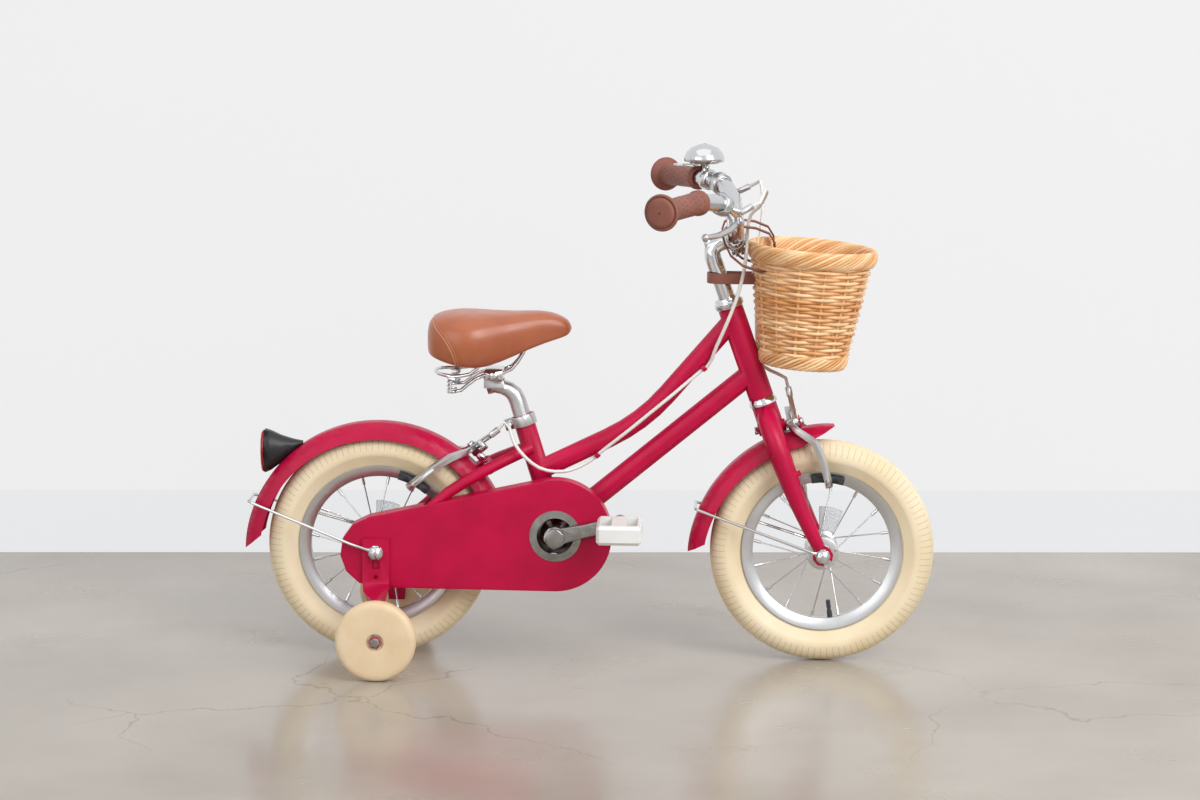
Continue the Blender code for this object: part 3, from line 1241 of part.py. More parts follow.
def training_arm(name):
    foot_y = TRAINER_HUB_Y - GAP - TRAINER_PLATE_T
    half = TRAINER_PLATE_T / 2
    top_y = TRAINER_PLATE_Y + half
    low_z = TRAINER_R - TYRE_R
    spots = [(0, -top_y, TRAINER_TOP_RISE), (0, -top_y, -0.0400),
             (0.001, -top_y - 0.0045, -0.0490),
             (0.004, -(top_y + foot_y) / 2, low_z + 0.0270),
             (TRAINER_X - 0.001, -foot_y + 0.0050, low_z + 0.0190),
             (TRAINER_X, -foot_y - half, low_z + 0.0100),
             (TRAINER_X, -foot_y - half, low_z - 0.0120)]
    widths = [TRAINER_PLATE_W, TRAINER_PLATE_W, TRAINER_PLATE_W, 0.0320, 0.0270, 0.0260,
              0.0220]
    arm = band(name, [Vector(p) for p in spots], widths, TRAINER_PLATE_T, (0, 1, 0.4), 0.0)
    slot = AXLE_D / 2 + GAP
    deep = 0.0220
    cut(arm, rod("slot_top", (0, -0.05, 0), (0, -0.08, 0), slot, 10),
        block("slot", (0, -0.065, -deep / 2), (2 * slot, 0.03, deep)),
        rod("hole", (0, -0.05, -0.0330), (0, -0.08, -0.0330), 0.0031, 7))
    head_y = TRAINER_OUT_Y - TRAINER_DEPTH
    return join(arm, rod("bolt", (TRAINER_X, -foot_y, low_z),
                         (TRAINER_X, -head_y - 0.002, low_z), TRAINER_BOLT_R, 10),
                rod("head", (TRAINER_X, -head_y - GAP, low_z),
                    (TRAINER_X, -TRAINER_OUT_Y + 0.0006, low_z), TRAINER_HEAD_R, 6))


TRAINER_FACETS = 24
crown = TRAINER_R / cos(pi / TRAINER_FACETS)
face = -TRAINER_OUT_Y
trainer = turned("training_wheel_right", [
    (TRAINER_HEAD_R + 0.0010, face), (crown - 0.0050, face), (crown, face + 0.0050),
    (crown, -TRAINER_HUB_Y - 0.0050), (crown - 0.0050, -TRAINER_HUB_Y),
    (TRAINER_BOLT_R + GAP, -TRAINER_HUB_Y), (TRAINER_BOLT_R + GAP, face + TRAINER_DEPTH),
    (TRAINER_HEAD_R + 0.0010, face + TRAINER_DEPTH)], TRAINER_FACETS, pi / TRAINER_FACETS)
hub_spot = Vector((TRAINER_X, 0.0, TRAINER_R - TYRE_R))
place(trainer, CREAM_PLASTIC, REAR, location=hub_spot)
mate = mirrored(trainer, "training_wheel_left")
pivoted(mate, hub_spot)
bracket = place(training_arm("training_arm_right"), CRIMSON, REAR)
mirrored(bracket, "training_arm_left")

# Seat clamp, post and saddle, on the seat tube's axis
SEAT_TILT = SEAT_TUBE_ANGLE - pi / 2
SEAT = empty("seat_tube_axis", BB, (0.0, SEAT_TILT, 0.0))
SEAT_TURN = turn_y(SEAT_TILT)
CLAMP_H = 0.0140
CLAMP_R = 0.0172
clamp_low = SEAT_TUBE_LENGTH - CLAMP_H
clamp_mid = SEAT_TUBE_LENGTH - CLAMP_H / 2
clamp = rod("seat_clamp", (0, 0, clamp_low), (0, 0, SEAT_TUBE_LENGTH), CLAMP_R, 14)
join(clamp, block("ears", (-0.0195, 0, clamp_mid), (0.0120, 0.0130, CLAMP_H)))
cut(clamp, rod("bore", (0, 0, clamp_low - 0.01), (0, 0, SEAT_TUBE_LENGTH + 0.01),
               clear_of(SEAT_TUBE_D / 2, 14), 14),
    block("slit", (-0.020, 0, clamp_mid), (0.0200, 0.0022, CLAMP_H + 0.01)))
join(clamp, rod("bolt", (-0.0210, -0.0085, clamp_mid), (-0.0210, 0.0085, clamp_mid),
                0.0026, 8))
for hand in (-1, 1):
    join(clamp, rod("head", (-0.0210, hand * 0.0062, clamp_mid),
                    (-0.0210, hand * 0.0105, clamp_mid), 0.0048, 8))
place(clamp, SILVER, SEAT)

POST_HEAD = Vector((-0.0215, 0.0, 0.2075))
post_path = [(0, 0, SEAT_POST_FROM), (0, 0, 0.1700)] + smooth(
    [(0, 0, 0.1800), (-0.0015, 0, 0.1900), (-0.0085, 0, 0.2000), POST_HEAD,
     (POST_HEAD.x - 0.0125, 0, POST_HEAD.z + 0.0008)], 6)
post = tube("seat_post", post_path, SEAT_POST_D / 2, 12,
            [1.0, 1.0, 1.0, 0.98, 0.92, 0.86, 0.80, 0.76])
SADDLE_SEAT = BB + Vector((-0.0853, 0.0, 0.2015))


def seat_local(point):
    return SEAT_TURN.transposed() @ (Vector(point) - BB)


level = SEAT_TURN.transposed()
join(post, block("head", seat_local(SADDLE_SEAT - Vector((0, 0, 0.0060))),
                 (0.0270, 0.0200, 0.0120), level))
cut(post, rod("bore", (0, 0, SEAT_POST_FROM - 0.01), (0, 0, 0.1700), SEAT_POST_BORE / 2, 12))
place(post, SILVER, SEAT)

# Saddle: a coarse cage, subdivided once
SADDLE_STATIONS = [
    # x, half width, top and skirt heights, from the bottom bracket
    (-0.1743, 0.0300, 0.2700, 0.2390), (-0.1643, 0.0530, 0.2840, 0.2310),
    (-0.1333, 0.0730, 0.2940, 0.2210), (-0.1033, 0.0700, 0.2930, 0.2175),
    (-0.0743, 0.0500, 0.2910, 0.2260), (-0.0433, 0.0330, 0.2920, 0.2400),
    (-0.0103, 0.0240, 0.2920, 0.2540), (0.0187, 0.0140, 0.2780, 0.2620)]


def saddle_section(x, half, top, low):
    """Crown, shoulder, side drawn in above the skirt, and the hollow underside."""
    tall = top - low
    right = [(0.50, 0.01), (0.86, 0.14), (1.00, 0.42), (0.95, 0.80), (0.82, 1.00),
             (0.45, 0.90)]
    spots = [(0.0, 0.0)] + right + [(0.0, 0.86)] + [(-v, d) for v, d in right[::-1]]
    return [BB + Vector((x, v * half, top - d * tall)) for v, d in spots]


saddle = loft("saddle", [saddle_section(*station) for station in SADDLE_STATIONS])
soften = saddle.modifiers.new("soften", "SUBSURF")
soften.levels = 1
soften.render_levels = 1
saddle_mesh = evaluated(saddle)
saddle.modifiers.clear()
saddle.data = saddle_mesh

# Under the saddle: two rails, a rear wire loop, a coil spring on each side and the clamp
SPRING_X = -0.1393
SPRING_Y = 0.0390
SPRING_LOW = 0.1885
RAIL = [(SPRING_X, SPRING_Y, SPRING_LOW), (-0.1273, 0.0355, 0.1905), (-0.1123, 0.0290, 0.2025),
        (-0.0963, 0.0235, 0.2095), (-0.0723, 0.0200, 0.2120), (-0.0608, 0.0180, 0.2175),
        (-0.0523, 0.0160, 0.2280), (-0.0453, 0.0140, 0.2400), (-0.0418, 0.0130, 0.2485)]
LOOP = [(-0.1003, 0.0400, 0.2320), (-0.1053, 0.0410, 0.2210), (-0.1173, 0.0410, 0.2120),
        (SPRING_X, SPRING_Y, SPRING_LOW + SPRING_H + 0.0020), (-0.1543, 0.0320, 0.2110),
        (-0.1618, 0.0170, 0.2115), (-0.1633, 0.0000, 0.2120)]


def sided(spots, side):
    return [BB + Vector((x, side * y, z)) for x, y, z in spots]


def rails(grow, sides):
    """Both rails and the rear loop, as separate solids grown by the given clearance."""
    wires = []
    for side in (-1, 1):
        path = smooth(sided(RAIL, side), 11)
        path[-1] += (path[-1] - path[-2]).normalized() * grow
        wires.append(tube("rail", path, RAIL_D / 2 + grow, sides))
    whole = sided(LOOP, -1) + sided(LOOP[:-1], 1)[::-1]
    wires.append(tube("loop", smooth(whole, 17), RAIL_D / 2 + grow, sides))
    return wires


def coil(side):
    count = 8
    steps = ceil(SPRING_TURNS * count)
    path = []
    for i in range(steps + 1):
        a = 2 * pi * i / count
        path.append(BB + Vector((SPRING_X + SPRING_COIL_R * cos(a),
                                 side * (SPRING_Y + SPRING_COIL_R * sin(a)),
                                 SPRING_LOW + SPRING_H * i / steps)))
    least = min((a - b).length for i, a in enumerate(path) for b in path[i + count - 2:])
    print("least gap within a saddle spring: %.2f mm" % ((least - SPRING_WIRE_D) * 1000))
    return tube("coil", path, SPRING_WIRE_D / 2, 6)


saddle_frame = block("saddle_frame", SADDLE_SEAT + Vector((0, 0, GAP + 0.0070)),
                     (0.0260, 0.0500, 0.0140), chamfer=0.002)
join(saddle_frame, *rails(0.0, 6))
for hand in (-1, 1):
    join(saddle_frame, coil(hand))
    for z in (SPRING_LOW - 0.0002, SPRING_LOW + SPRING_H + 0.0002):
        spot = BB + Vector((SPRING_X, hand * SPRING_Y, z))
        join(saddle_frame, rod("seat", spot - Vector((0, 0, 0.0010)),
                               spot + Vector((0, 0, 0.0010)), 0.0064, 8))
    join(saddle_frame, rod("nut", SADDLE_SEAT + Vector((0, hand * 0.0245, 0.0075)),
                           SADDLE_SEAT + Vector((0, hand * 0.0295, 0.0075)), 0.0055, 6))
cut(saddle, *rails(GAP, 6))


def settle(obj, mat, parent):
    """Gives obj, built in world coordinates, to parent and leaves it where it is."""
    if parent:
        bpy.context.view_layer.update()
        obj.data.transform(parent.matrix_world.inverted())
    return place(obj, mat, parent)


settle(saddle, TAN, SEAT)
settle(saddle_frame, CHROME, SEAT)

# Stem, handlebar and grips, in the steering frame
QUILL_FROM = 0.0560
STEM_CLAMP_HALF = 0.0190
STEM_CLAMP_R = 0.0152
GRIP_CAP = 0.0030
BAR_SIDES = 10


bar_end = Vector((-0.0341, GRIP_END_Y - GRIP_CAP, 0.3068))
BAR_HALF = smooth([(BAR_X, STEM_CLAMP_HALF + 0.006, BAR_Z), (0.0400, 0.0600, 0.2300),
                   (0.0480, 0.1100, 0.2560), (0.0390, 0.1480, 0.2800),
                   (0.0127, 0.1800, 0.2936), bar_end], 13)
BAR_PATH = [Vector((p.x, -p.y, p.z)) for p in BAR_HALF[::-1]] + BAR_HALF


def bar_tube(name, grow):
    """The handlebar, or the hole for it, which is also longer by grow at each end."""
    ends = [BAR_PATH[i] + (BAR_PATH[i] - BAR_PATH[j]).normalized() * grow
            for i, j in ((0, 1), (-1, -2))]
    return tube(name, [ends[0], *BAR_PATH[1:-1], ends[1]], BAR_D / 2 + grow, BAR_SIDES)


def bar_at(y):
    """Point and outward direction of the handlebar at y, in the steering frame."""
    for a, b in zip(BAR_PATH, BAR_PATH[1:]):
        if a.y <= y <= b.y:
            return a.lerp(b, (y - a.y) / (b.y - a.y)), (b - a).normalized() * (1 if y > 0 else -1)
    return None


def last_of(path, length):
    """The end of path, cut back to the given length."""
    tail = [path[-1]]
    for a, b in zip(path[-2::-1], path[::-1]):
        step = (a - b).length
        if step >= length:
            return [b.lerp(a, length / step)] + tail
        length -= step
        tail.insert(0, a)
    return tail


quill = [(0, 0, QUILL_FROM), (0, 0, 0.1950)]
quill += smooth([(0, 0, 0.2030), (0.0030, 0, 0.2130), (0.0110, 0, QUILL_TOP_Z),
                 (BAR_X, 0, BAR_Z)], 6)
stem = tube("stem", quill, QUILL_D / 2, 12)
join(stem, rod("bar_clamp", (BAR_X, -STEM_CLAMP_HALF, BAR_Z), (BAR_X, STEM_CLAMP_HALF, BAR_Z),
               STEM_CLAMP_R, 12),
     block("ears", (BAR_X, 0, BAR_Z - 0.0170), (0.0130, 0.0260, 0.0120)),
     rod("expander_bolt", (0, 0, QUILL_TOP_Z - 0.002), (0, 0, QUILL_TOP_Z + 0.0135),
         0.0058, 6))
cut(stem, rod("bar_hole", (BAR_X, -0.03, BAR_Z), (BAR_X, 0.03, BAR_Z),
              clear_of(BAR_D / 2, 12), 12),
    block("slit", (BAR_X, 0, BAR_Z - 0.0200), (0.0020, 0.03, 0.0200)))
join(stem, rod("pinch_bolt", (BAR_X - 0.0105, 0, BAR_Z - 0.0185),
               (BAR_X + 0.0105, 0, BAR_Z - 0.0185), 0.0030, 8))
place(stem, CHROME, STEER)
place(bar_tube("handlebar", 0.0), CHROME, STEER)

grip_path = last_of(BAR_HALF, GRIP_LENGTH - GRIP_CAP)
grip_run = (grip_path[-1] - grip_path[-2]).normalized()
grip = tube("grip_left", grip_path, GRIP_D / 2, BAR_SIDES)
inner_run = (grip_path[1] - grip_path[0]).normalized()
join(grip, rod("inner_flange", grip_path[0], grip_path[0] + inner_run * 0.0045,
               GRIP_INNER_FLANGE_D / 2, 12),
     rod("end_flange", grip_path[-1] - grip_run * 0.0060,
         grip_path[-1] + grip_run * GRIP_CAP, GRIP_END_FLANGE_D / 2, 14))
cut(grip, bar_tube("bar", GAP))
place(grip, BROWN, STEER)
mirrored(grip, "grip_right")

# Brake levers. The hinge axis leans with the lever; turning it up the axis pulls it in.
LEVER_PIN_R = 0.0025
LEVER_BOSS_R = 0.0062
LEVER_HALF = 0.0030
LEVER_OFF = Vector((0.0223, -0.0020, -0.0217))
LEVER_BALL_OFF = Vector((-0.0420, -0.0780, -0.0150))
BARREL_FROM = Vector((0.0020, 0.0040, 0.0110))
BARREL_TO = Vector((0.0170, 0.0100, 0.0190))
clamp_spot, clamp_run = bar_at(-LEVER_CLAMP_Y)
into = STEER_TURN.transposed()
pivot = clamp_spot + into @ LEVER_OFF
lever_x = (into @ LEVER_BALL_OFF).normalized()
lever_z = into @ Vector((-0.768, 0.492, -0.410))
lever_y = lever_z.cross(lever_x).normalized()
LEVER = framed("lever_axis", pivot, lever_x, lever_y, STEER)
lever_turn = LEVER.matrix_basis.to_3x3()
lever_z = lever_turn @ Vector((0, 0, 1))

lever = rod("brake_lever_right", (0, 0, -LEVER_HALF), (0, 0, LEVER_HALF), LEVER_BOSS_R, 10)
blade_path = [(0.0030, 0, 0), (0.0100, -0.0010, 0), (0.0170, -0.0022, 0), (0.0300, -0.0040, 0),
              (0.0600, -0.0030, 0), (LEVER_LENGTH, 0.0020, 0)]
join(lever, tube("blade", blade_path, LEVER_D / 2, 6, [0.66, 0.66, 1.0, 1.0, 0.9, 0.8]),
     ball("tip", (LEVER_LENGTH, 0.0020, 0), 0.0056, 6))
cut(lever, rod("pin_hole", (0, 0, -0.01), (0, 0, 0.01), clear_of(LEVER_PIN_R, 8), 8))
place(lever, SILVER, STEER, location=pivot, rotation=LEVER.rotation_euler)
mate = mirrored(lever, "brake_lever_left")
pivoted(mate, (pivot.x, -pivot.y, pivot.z))

lug_low = LEVER_HALF + GAP
bracket = rod("lever_clamp_right", clamp_spot - clamp_run * 0.006,
              clamp_spot + clamp_run * 0.006, 0.0150, 12)
join(bracket, rod("lug", pivot + lever_z * lug_low, pivot + lever_z * (lug_low + 0.0050),
                  0.0060, 8),
     rod("arm", pivot + lever_z * (lug_low + 0.0039), clamp_spot, 0.0038, 6),
     rod("pin", pivot - lever_z * (lug_low + 0.0012), pivot + lever_z * (lug_low + 0.002),
         LEVER_PIN_R, 8),
     rod("pin_head", pivot - lever_z * lug_low, pivot - lever_z * (lug_low + 0.0020),
         0.0046, 6),
     rod("web", pivot + into @ BARREL_FROM, clamp_spot, 0.0036, 6),
     rod("barrel", pivot + into @ BARREL_FROM, pivot + into @ BARREL_TO, 0.0042, 8))
cut(bracket, bar_tube("bar", GAP))
place(bracket, SILVER, STEER)
mirrored(bracket, "lever_clamp_left")

# Bell on the left of the handlebar, its dome level
BELL_BASE_T = 0.0026
BELL_RISE = 0.0248
LEVEL = turn_y(-STEER_TILT)
bell_bar, bell_run = bar_at(BELL_CLAMP_Y)
bell_spot = bell_bar + into @ Vector((-0.0052, 0.0, BELL_RISE))
BELL = empty("bell_axis", bell_spot, (0.0, -STEER_TILT, 0.0), STEER)
half_d = BELL_D / 2
bell = turned("bell", [(0.0, -BELL_BASE_T), (0.0200, -BELL_BASE_T), (0.0200, 0.0),
                       (half_d, 0.0), (half_d, 0.0050), (half_d * 0.90, 0.0120),
                       (half_d * 0.66, 0.0190), (half_d * 0.30, BELL_H - 0.0020),
                       (0.0, BELL_H)], 16)
bell.data.transform(Matrix.Rotation(pi / 2, 4, "X"))
BELL_PIN = Vector((-0.0130, -0.0020, -BELL_BASE_T))
BELL_LEVER_T = 0.0020
pin_drop = Vector((0, 0, GAP + BELL_LEVER_T + GAP))
join(bell, rod("pin", BELL_PIN + Vector((0, 0, 0.001)),
               BELL_PIN - pin_drop - Vector((0, 0, 0.0006)), 0.0018, 8),
     rod("pin_head", BELL_PIN - pin_drop, BELL_PIN - pin_drop - Vector((0, 0, 0.0012)),
         0.0034, 8),
     rod("neck", (0, 0, -0.001), LEVEL.transposed() @ (bell_bar - bell_spot), 0.0060, 8))
place(bell, CHROME, STEER, location=bell_spot, rotation=(0.0, -STEER_TILT, 0.0))
bpy.context.view_layer.update()
ring = place(rod("ring", bell_bar - bell_run * 0.005, bell_bar + bell_run * 0.005, 0.0145, 12),
             parent=STEER)
join(bell, ring)
cut(bell, place(bar_tube("bar", GAP), parent=STEER))

tab = plate("bell_lever", [[(0.0045, -0.0040), (0.0045, 0.0040), (-0.0160, 0.0045),
                            (-0.0270, 0.0070), (-0.0300, 0.0), (-0.0270, -0.0070),
                            (-0.0160, -0.0045)], circle((0, 0), 0.0022, 10)], BELL_LEVER_T)
tab.data.transform(Matrix.Rotation(radians(14), 4, "Z") @ Matrix.Rotation(pi / 2, 4, "X"))
tab_spot = bell_spot + into @ (BELL_PIN - Vector((0, 0, GAP + BELL_LEVER_T)))
place(tab, CHROME, STEER, location=tab_spot, rotation=(0.0, -STEER_TILT, 0.0))

# Basket, its straps round the handlebar and the stem
BASKET_SIDES = 22
basket_spot = into @ Vector((BASKET_BASE_X, 0.0, BASKET_BASE_Z))
basket_turn = turn_y(-STEER_TILT + BASKET_LEAN)


def basket_ring(z, inset):
    share = z / BASKET_H
    wide_x = BASKET_FLOOR_R + (BASKET_RIM_X - BASKET_FLOOR_R) * share - inset
    wide_y = BASKET_FLOOR_R + (BASKET_RIM_Y - BASKET_FLOOR_R) * share - inset
    turns = [2 * pi * (i + 0.5) / BASKET_SIDES for i in range(BASKET_SIDES)]
    return [(wide_x * cos(a), wide_y * sin(a), z) for a in turns]


border_z = BASKET_H - BASKET_BORDER_H
outset = -(BASKET_BORDER_T - BASKET_WALL) / 2
basket = loft("basket", [
    basket_ring(0.0, 0.0030), basket_ring(0.0040, 0.0), basket_ring(border_z, 0.0),
    basket_ring(border_z + 0.0030, outset), basket_ring(BASKET_H - 0.0040, outset),
    basket_ring(BASKET_H, 0.0010), basket_ring(BASKET_H, BASKET_WALL - 0.0010),
    basket_ring(BASKET_H - 0.0040, BASKET_WALL - outset),
    basket_ring(border_z + 0.0030, BASKET_WALL - outset), basket_ring(border_z, BASKET_WALL),
    basket_ring(BASKET_FLOOR_T, BASKET_WALL)])
place(basket, WICKER, STEER, location=basket_spot, rotation=basket_turn.to_euler())
relief = rod("head_tube_relief", (0, 0, 0.0200), (0, 0, 0.1310), HEAD_TUBE_D / 2 + 0.0012, 14)
cut(basket, place(relief, parent=STEER))

SLOT_SIDE = STRAP_W + 0.0030
bar_mid, _ = bar_at(STRAP_Y + STRAP_W / 8)
bar_world = steer_world(*bar_mid)
loop_r = BAR_D / 2 + 0.0044 + STRAP_T / 2
round_bar = [(bar_world.x + loop_r * cos(a), STRAP_Y, bar_world.z + loop_r * sin(a))
             for a in [radians(d) for d in (215, 180, 145, 110, 75, 50)]]
strap_path = round_bar + [from_race(x, STRAP_Y, z) for x, z in (
    (-0.0135, 0.2356), (0.0045, 0.2286), (0.0120, 0.2166), (0.0135, 0.1966), (0.0130, 0.1856),
    (0.0065, 0.1796), (-0.0115, 0.1796), (-0.0295, 0.1856), (-0.0455, 0.1986))]
strap = band("basket_strap_left", [Vector(p) for p in strap_path], STRAP_W, STRAP_T,
             (0, 1, 0), 0.0, closed=True)
settle(strap, BROWN, STEER)
mirrored(strap, "basket_strap_right")
cut(basket, *[block("slot", from_race(-0.0085, hand * STRAP_Y, 0.1806), (0.0540, SLOT_SIDE, 0.0090))
              for hand in (-1, 1)])

LOW_STRAP_Z = HEAD_RACE.z + 0.1646
LOW_STRAP_LEG = 0.0140
quill_x = HEAD_RACE.x + STEER_TURN[0][2] * (LOW_STRAP_Z - HEAD_RACE.z) / STEER_TURN[2][2]
low_r = QUILL_D / 2 + 0.0038 + STRAP_T / 2
low_path = [(quill_x + low_r * cos(a), low_r * sin(a), LOW_STRAP_Z)
            for a in [radians(d) for d in (80, 110, 145, 180, 215, 250, 280)]]
low_path += [(HEAD_RACE.x + x, y, LOW_STRAP_Z) for x, y in (
    (-0.0235, -LOW_STRAP_LEG), (-0.0035, -LOW_STRAP_LEG), (0.0015, -0.0070), (0.0015, 0.0070),
    (-0.0035, LOW_STRAP_LEG), (-0.0235, LOW_STRAP_LEG))]
low_strap = band("basket_strap_lower", [Vector(p) for p in low_path], STRAP_W, STRAP_T,
                 (0, 0, 1), 0.0, closed=True)
settle(low_strap, BROWN, STEER)
cut(basket, *[block("slot", (HEAD_RACE.x - 0.0155, hand * LOW_STRAP_LEG, LOW_STRAP_Z),
                    (0.0440, STRAP_T + 0.0060, SLOT_SIDE)) for hand in (-1, 1)])


# Side-pull brakes. In a calliper's frame X runs down the arms and Z along its bolt.
ARM_BOSS_R = 0.0075
ARM_LAYER = CAL_ARM_T / 2 + GAP
ARM_OUT = 0.0335
BARREL_X = -0.0400
BARREL_Y = -0.0250
BARREL_R = 0.0045
ANCHOR_X = -0.0150
WIRE_R = 0.0008
WIRE_HOLE_R = 0.0020
SHOE_BOLT_R = 0.0030
REAR_PAD = polar(PAD_R, radians(62.0)) + REAR_AXLE
FRONT_PAD = polar(PAD_R, radians(86.8)) + FRONT_AXLE


def calliper(name, origin, down, across, parent, pad_at, axle_at):
    """The arm with the cable's barrel, then the arm with its anchor."""
    frame_empty = framed(name + "_brake_axis", origin, down, across, parent)
    turn = frame_empty.matrix_basis.to_3x3()
    pad_local = turn.transposed() @ (pad_at - origin)
    reach, off = pad_local.x, pad_local.z
    hub = turn.transposed() @ (axle_at - origin)
    facing = atan2(off - hub.z, reach - hub.x)
    swing = PAD_L / 2 / PAD_R
    pad_outline = (arc((hub.x, hub.z), PAD_R + PAD_H / 2, facing - swing, facing + swing, 5)
                   + arc((hub.x, hub.z), PAD_R - PAD_H / 2, facing + swing, facing - swing, 5))
    arms = []
    for side, label in ((-1, "barrel"), (1, "anchor")):
        z0 = side * ARM_LAYER
        path = [(0.0, 0.0, z0), (0.0010, 0.0140, z0), (0.0094, 0.0284, z0 * 0.65 + off * 0.28),
                (0.0270, ARM_OUT + 0.0004, off * 0.8), (0.0550, ARM_OUT, off),
                (reach + 0.0090, ARM_OUT - 0.0005, off)]
        spots = [Vector((x, side * y, z)) for x, y, z in path]
        arm = band("%s_brake_arm_%s" % (name, label), spots,
                   [CAL_ARM_W, CAL_ARM_W, 0.0104, 0.0098, 0.0095, 0.0090], CAL_ARM_T,
                   (0, 0.45, 1) if side < 0 else (0, -0.45, 1), 0.0)
        low, high = sorted((side * GAP, side * (GAP + CAL_ARM_T)))
        join(arm, rod("boss", (0, 0, low), (0, 0, high), ARM_BOSS_R, 8))
        if side < 0:
            shoulder = hull("shoulder", [
                (x, y, z) for z in (low + 0.0002, high - 0.0002)
                for x, y in ((0.0030, -0.0060), (-0.0060, 0.0040), (-0.0340, -0.0225),
                             (-0.0340, -0.0285), (-0.0310, -0.0285))])
            join(arm, shoulder, rod("barrel", (BARREL_X + 0.0080, BARREL_Y, z0),
                                    (BARREL_X - 0.0050, BARREL_Y, z0), BARREL_R, 8))
            cut(arm, rod("wire_way", (-0.0600, BARREL_Y, z0), (ANCHOR_X + 0.02, BARREL_Y, z0),
                         WIRE_HOLE_R, 6))
        else:
            reach_back = hull("reach_back", [
                (x, y, z) for z in (low + 0.0002, high - 0.0002)
                for x, y in ((0.0050, -0.0010), (-0.0065, 0.0030), (ANCHOR_X - 0.0045, -0.0240),
                             (ANCHOR_X - 0.0030, -0.0290), (ANCHOR_X + 0.0040, -0.0285))])
            join(arm, reach_back, rod("anchor", (ANCHOR_X, BARREL_Y, low + 0.001),
                                      (ANCHOR_X, BARREL_Y, -ARM_LAYER - 0.0038), 0.0040, 8))
            cut(arm, rod("wire_hole", (ANCHOR_X - 0.01, BARREL_Y, -ARM_LAYER),
                         (ANCHOR_X + 0.01, BARREL_Y, -ARM_LAYER), WIRE_HOLE_R, 6))
        inner = RIM_W / 2 + BRAKE_GAP
        pad = plate("pad", [pad_outline], PAD_T)
        pad.data.transform(Matrix.Translation((0, inner if side > 0 else -inner - PAD_T, 0)))
        join(arm, rod("shoe_bolt", (reach, side * (inner + PAD_T - 0.002), off),
                      (reach, side * (ARM_OUT + 0.0065), off), SHOE_BOLT_R, 6), pad)
        cut(arm, rod("bolt_hole", (0, 0, -0.02), (0, 0, 0.02), clear_of(CAL_BOLT_D / 2, 8), 8))
        arms.append(place(arm, SILVER, parent, location=origin,
                          rotation=frame_empty.rotation_euler))
    return frame_empty


def brake_bolt(name, holder, parent, dome, nut_z, spacers):
    """The pivot bolt, domed at the front, with its nut and the spacers beside the arms."""
    bolt = rod(name, (0, 0, dome - 0.001), (0, 0, nut_z + 0.0045), CAL_BOLT_D / 2, 8)
    join(bolt, rod("dome", (0, 0, dome), (0, 0, dome - 0.0040), 0.0064, 8, 0.0042),
         rod("nut", (0, 0, nut_z), (0, 0, nut_z + 0.0050), 0.0058, 6))
    for low, high in spacers:
        join(bolt, rod("spacer", (0, 0, low), (0, 0, high), 0.0060, 8))
    return place(bolt, CHROME, parent, location=holder.location,
                 rotation=holder.rotation_euler)


arm_face = CAL_ARM_T + GAP * 2
REAR_BRAKE = calliper("rear", REAR_CAL, REAR_CAL_DOWN, (0, 1, 0), None, REAR_PAD, REAR_AXLE)
tab_low = REAR_TAB_ALONG - TAB_T / 2 - GAP
tab_high = REAR_TAB_ALONG + TAB_T / 2 + GAP
brake_bolt("rear_brake_bolt", REAR_BRAKE, None, -arm_face - GAP, BRIDGE_ALONG + BRIDGE_D / 2 + GAP,
           [(arm_face, tab_low), (tab_high, BRIDGE_ALONG - BRIDGE_D / 2 - GAP)])
FRONT_BRAKE = calliper("front", fork_cal, into @ FRONT_CAL_DOWN, (0, -1, 0), STEER,
                       into @ (FRONT_PAD - HEAD_RACE), into @ (FRONT_AXLE - HEAD_RACE))
brake_bolt("front_brake_bolt", FRONT_BRAKE, STEER, FRONT_TAB_ALONG - TAB_T / 2 - GAP,
           FRONT_SEAT[1] + GAP,
           [(arm_face, FRONT_SEAT[0] - GAP)])

# Wheel reflectors, each held between the spokes on the hub's near flange
place(reflector("rear_reflector", REAR_FLANGE_Y), CLEAR, REAR)
place(reflector("front_reflector", FRONT_FLANGE_Y), CLEAR, FRONT, rotation=(0, -STEER_TILT, 0))


# Brake cables: the casing from the lever's barrel to the calliper's, then the bare wire
def cable(name, path, wire_to, parent, holder):
    """Casing along path, given in world places, and the wire on into the calliper."""
    count = min(64, ceil(sum((Vector(b) - Vector(a)).length for a, b in zip(path, path[1:]))
                         / (CABLE_D * 2.4)))
    casing = tube(name, smooth(path, count), CABLE_D / 2, 8)
    settle(casing, WHITE, parent)
    wire = rod("wire", *wire_to, WIRE_R, 6)
    wire.parent = parent
    wire.location = holder.location
    wire.rotation_euler = holder.rotation_euler
    return join(casing, wire)


def calliper_spot(holder, x, y, z):
    bpy.context.view_layer.update()
    return holder.matrix_world @ Vector((x, y, z))


def lever_exit(side):
    spot = steer_world(*pivot) + BARREL_TO + (BARREL_TO - BARREL_FROM).normalized() * GAP
    return Vector((spot.x, -side * spot.y, spot.z))


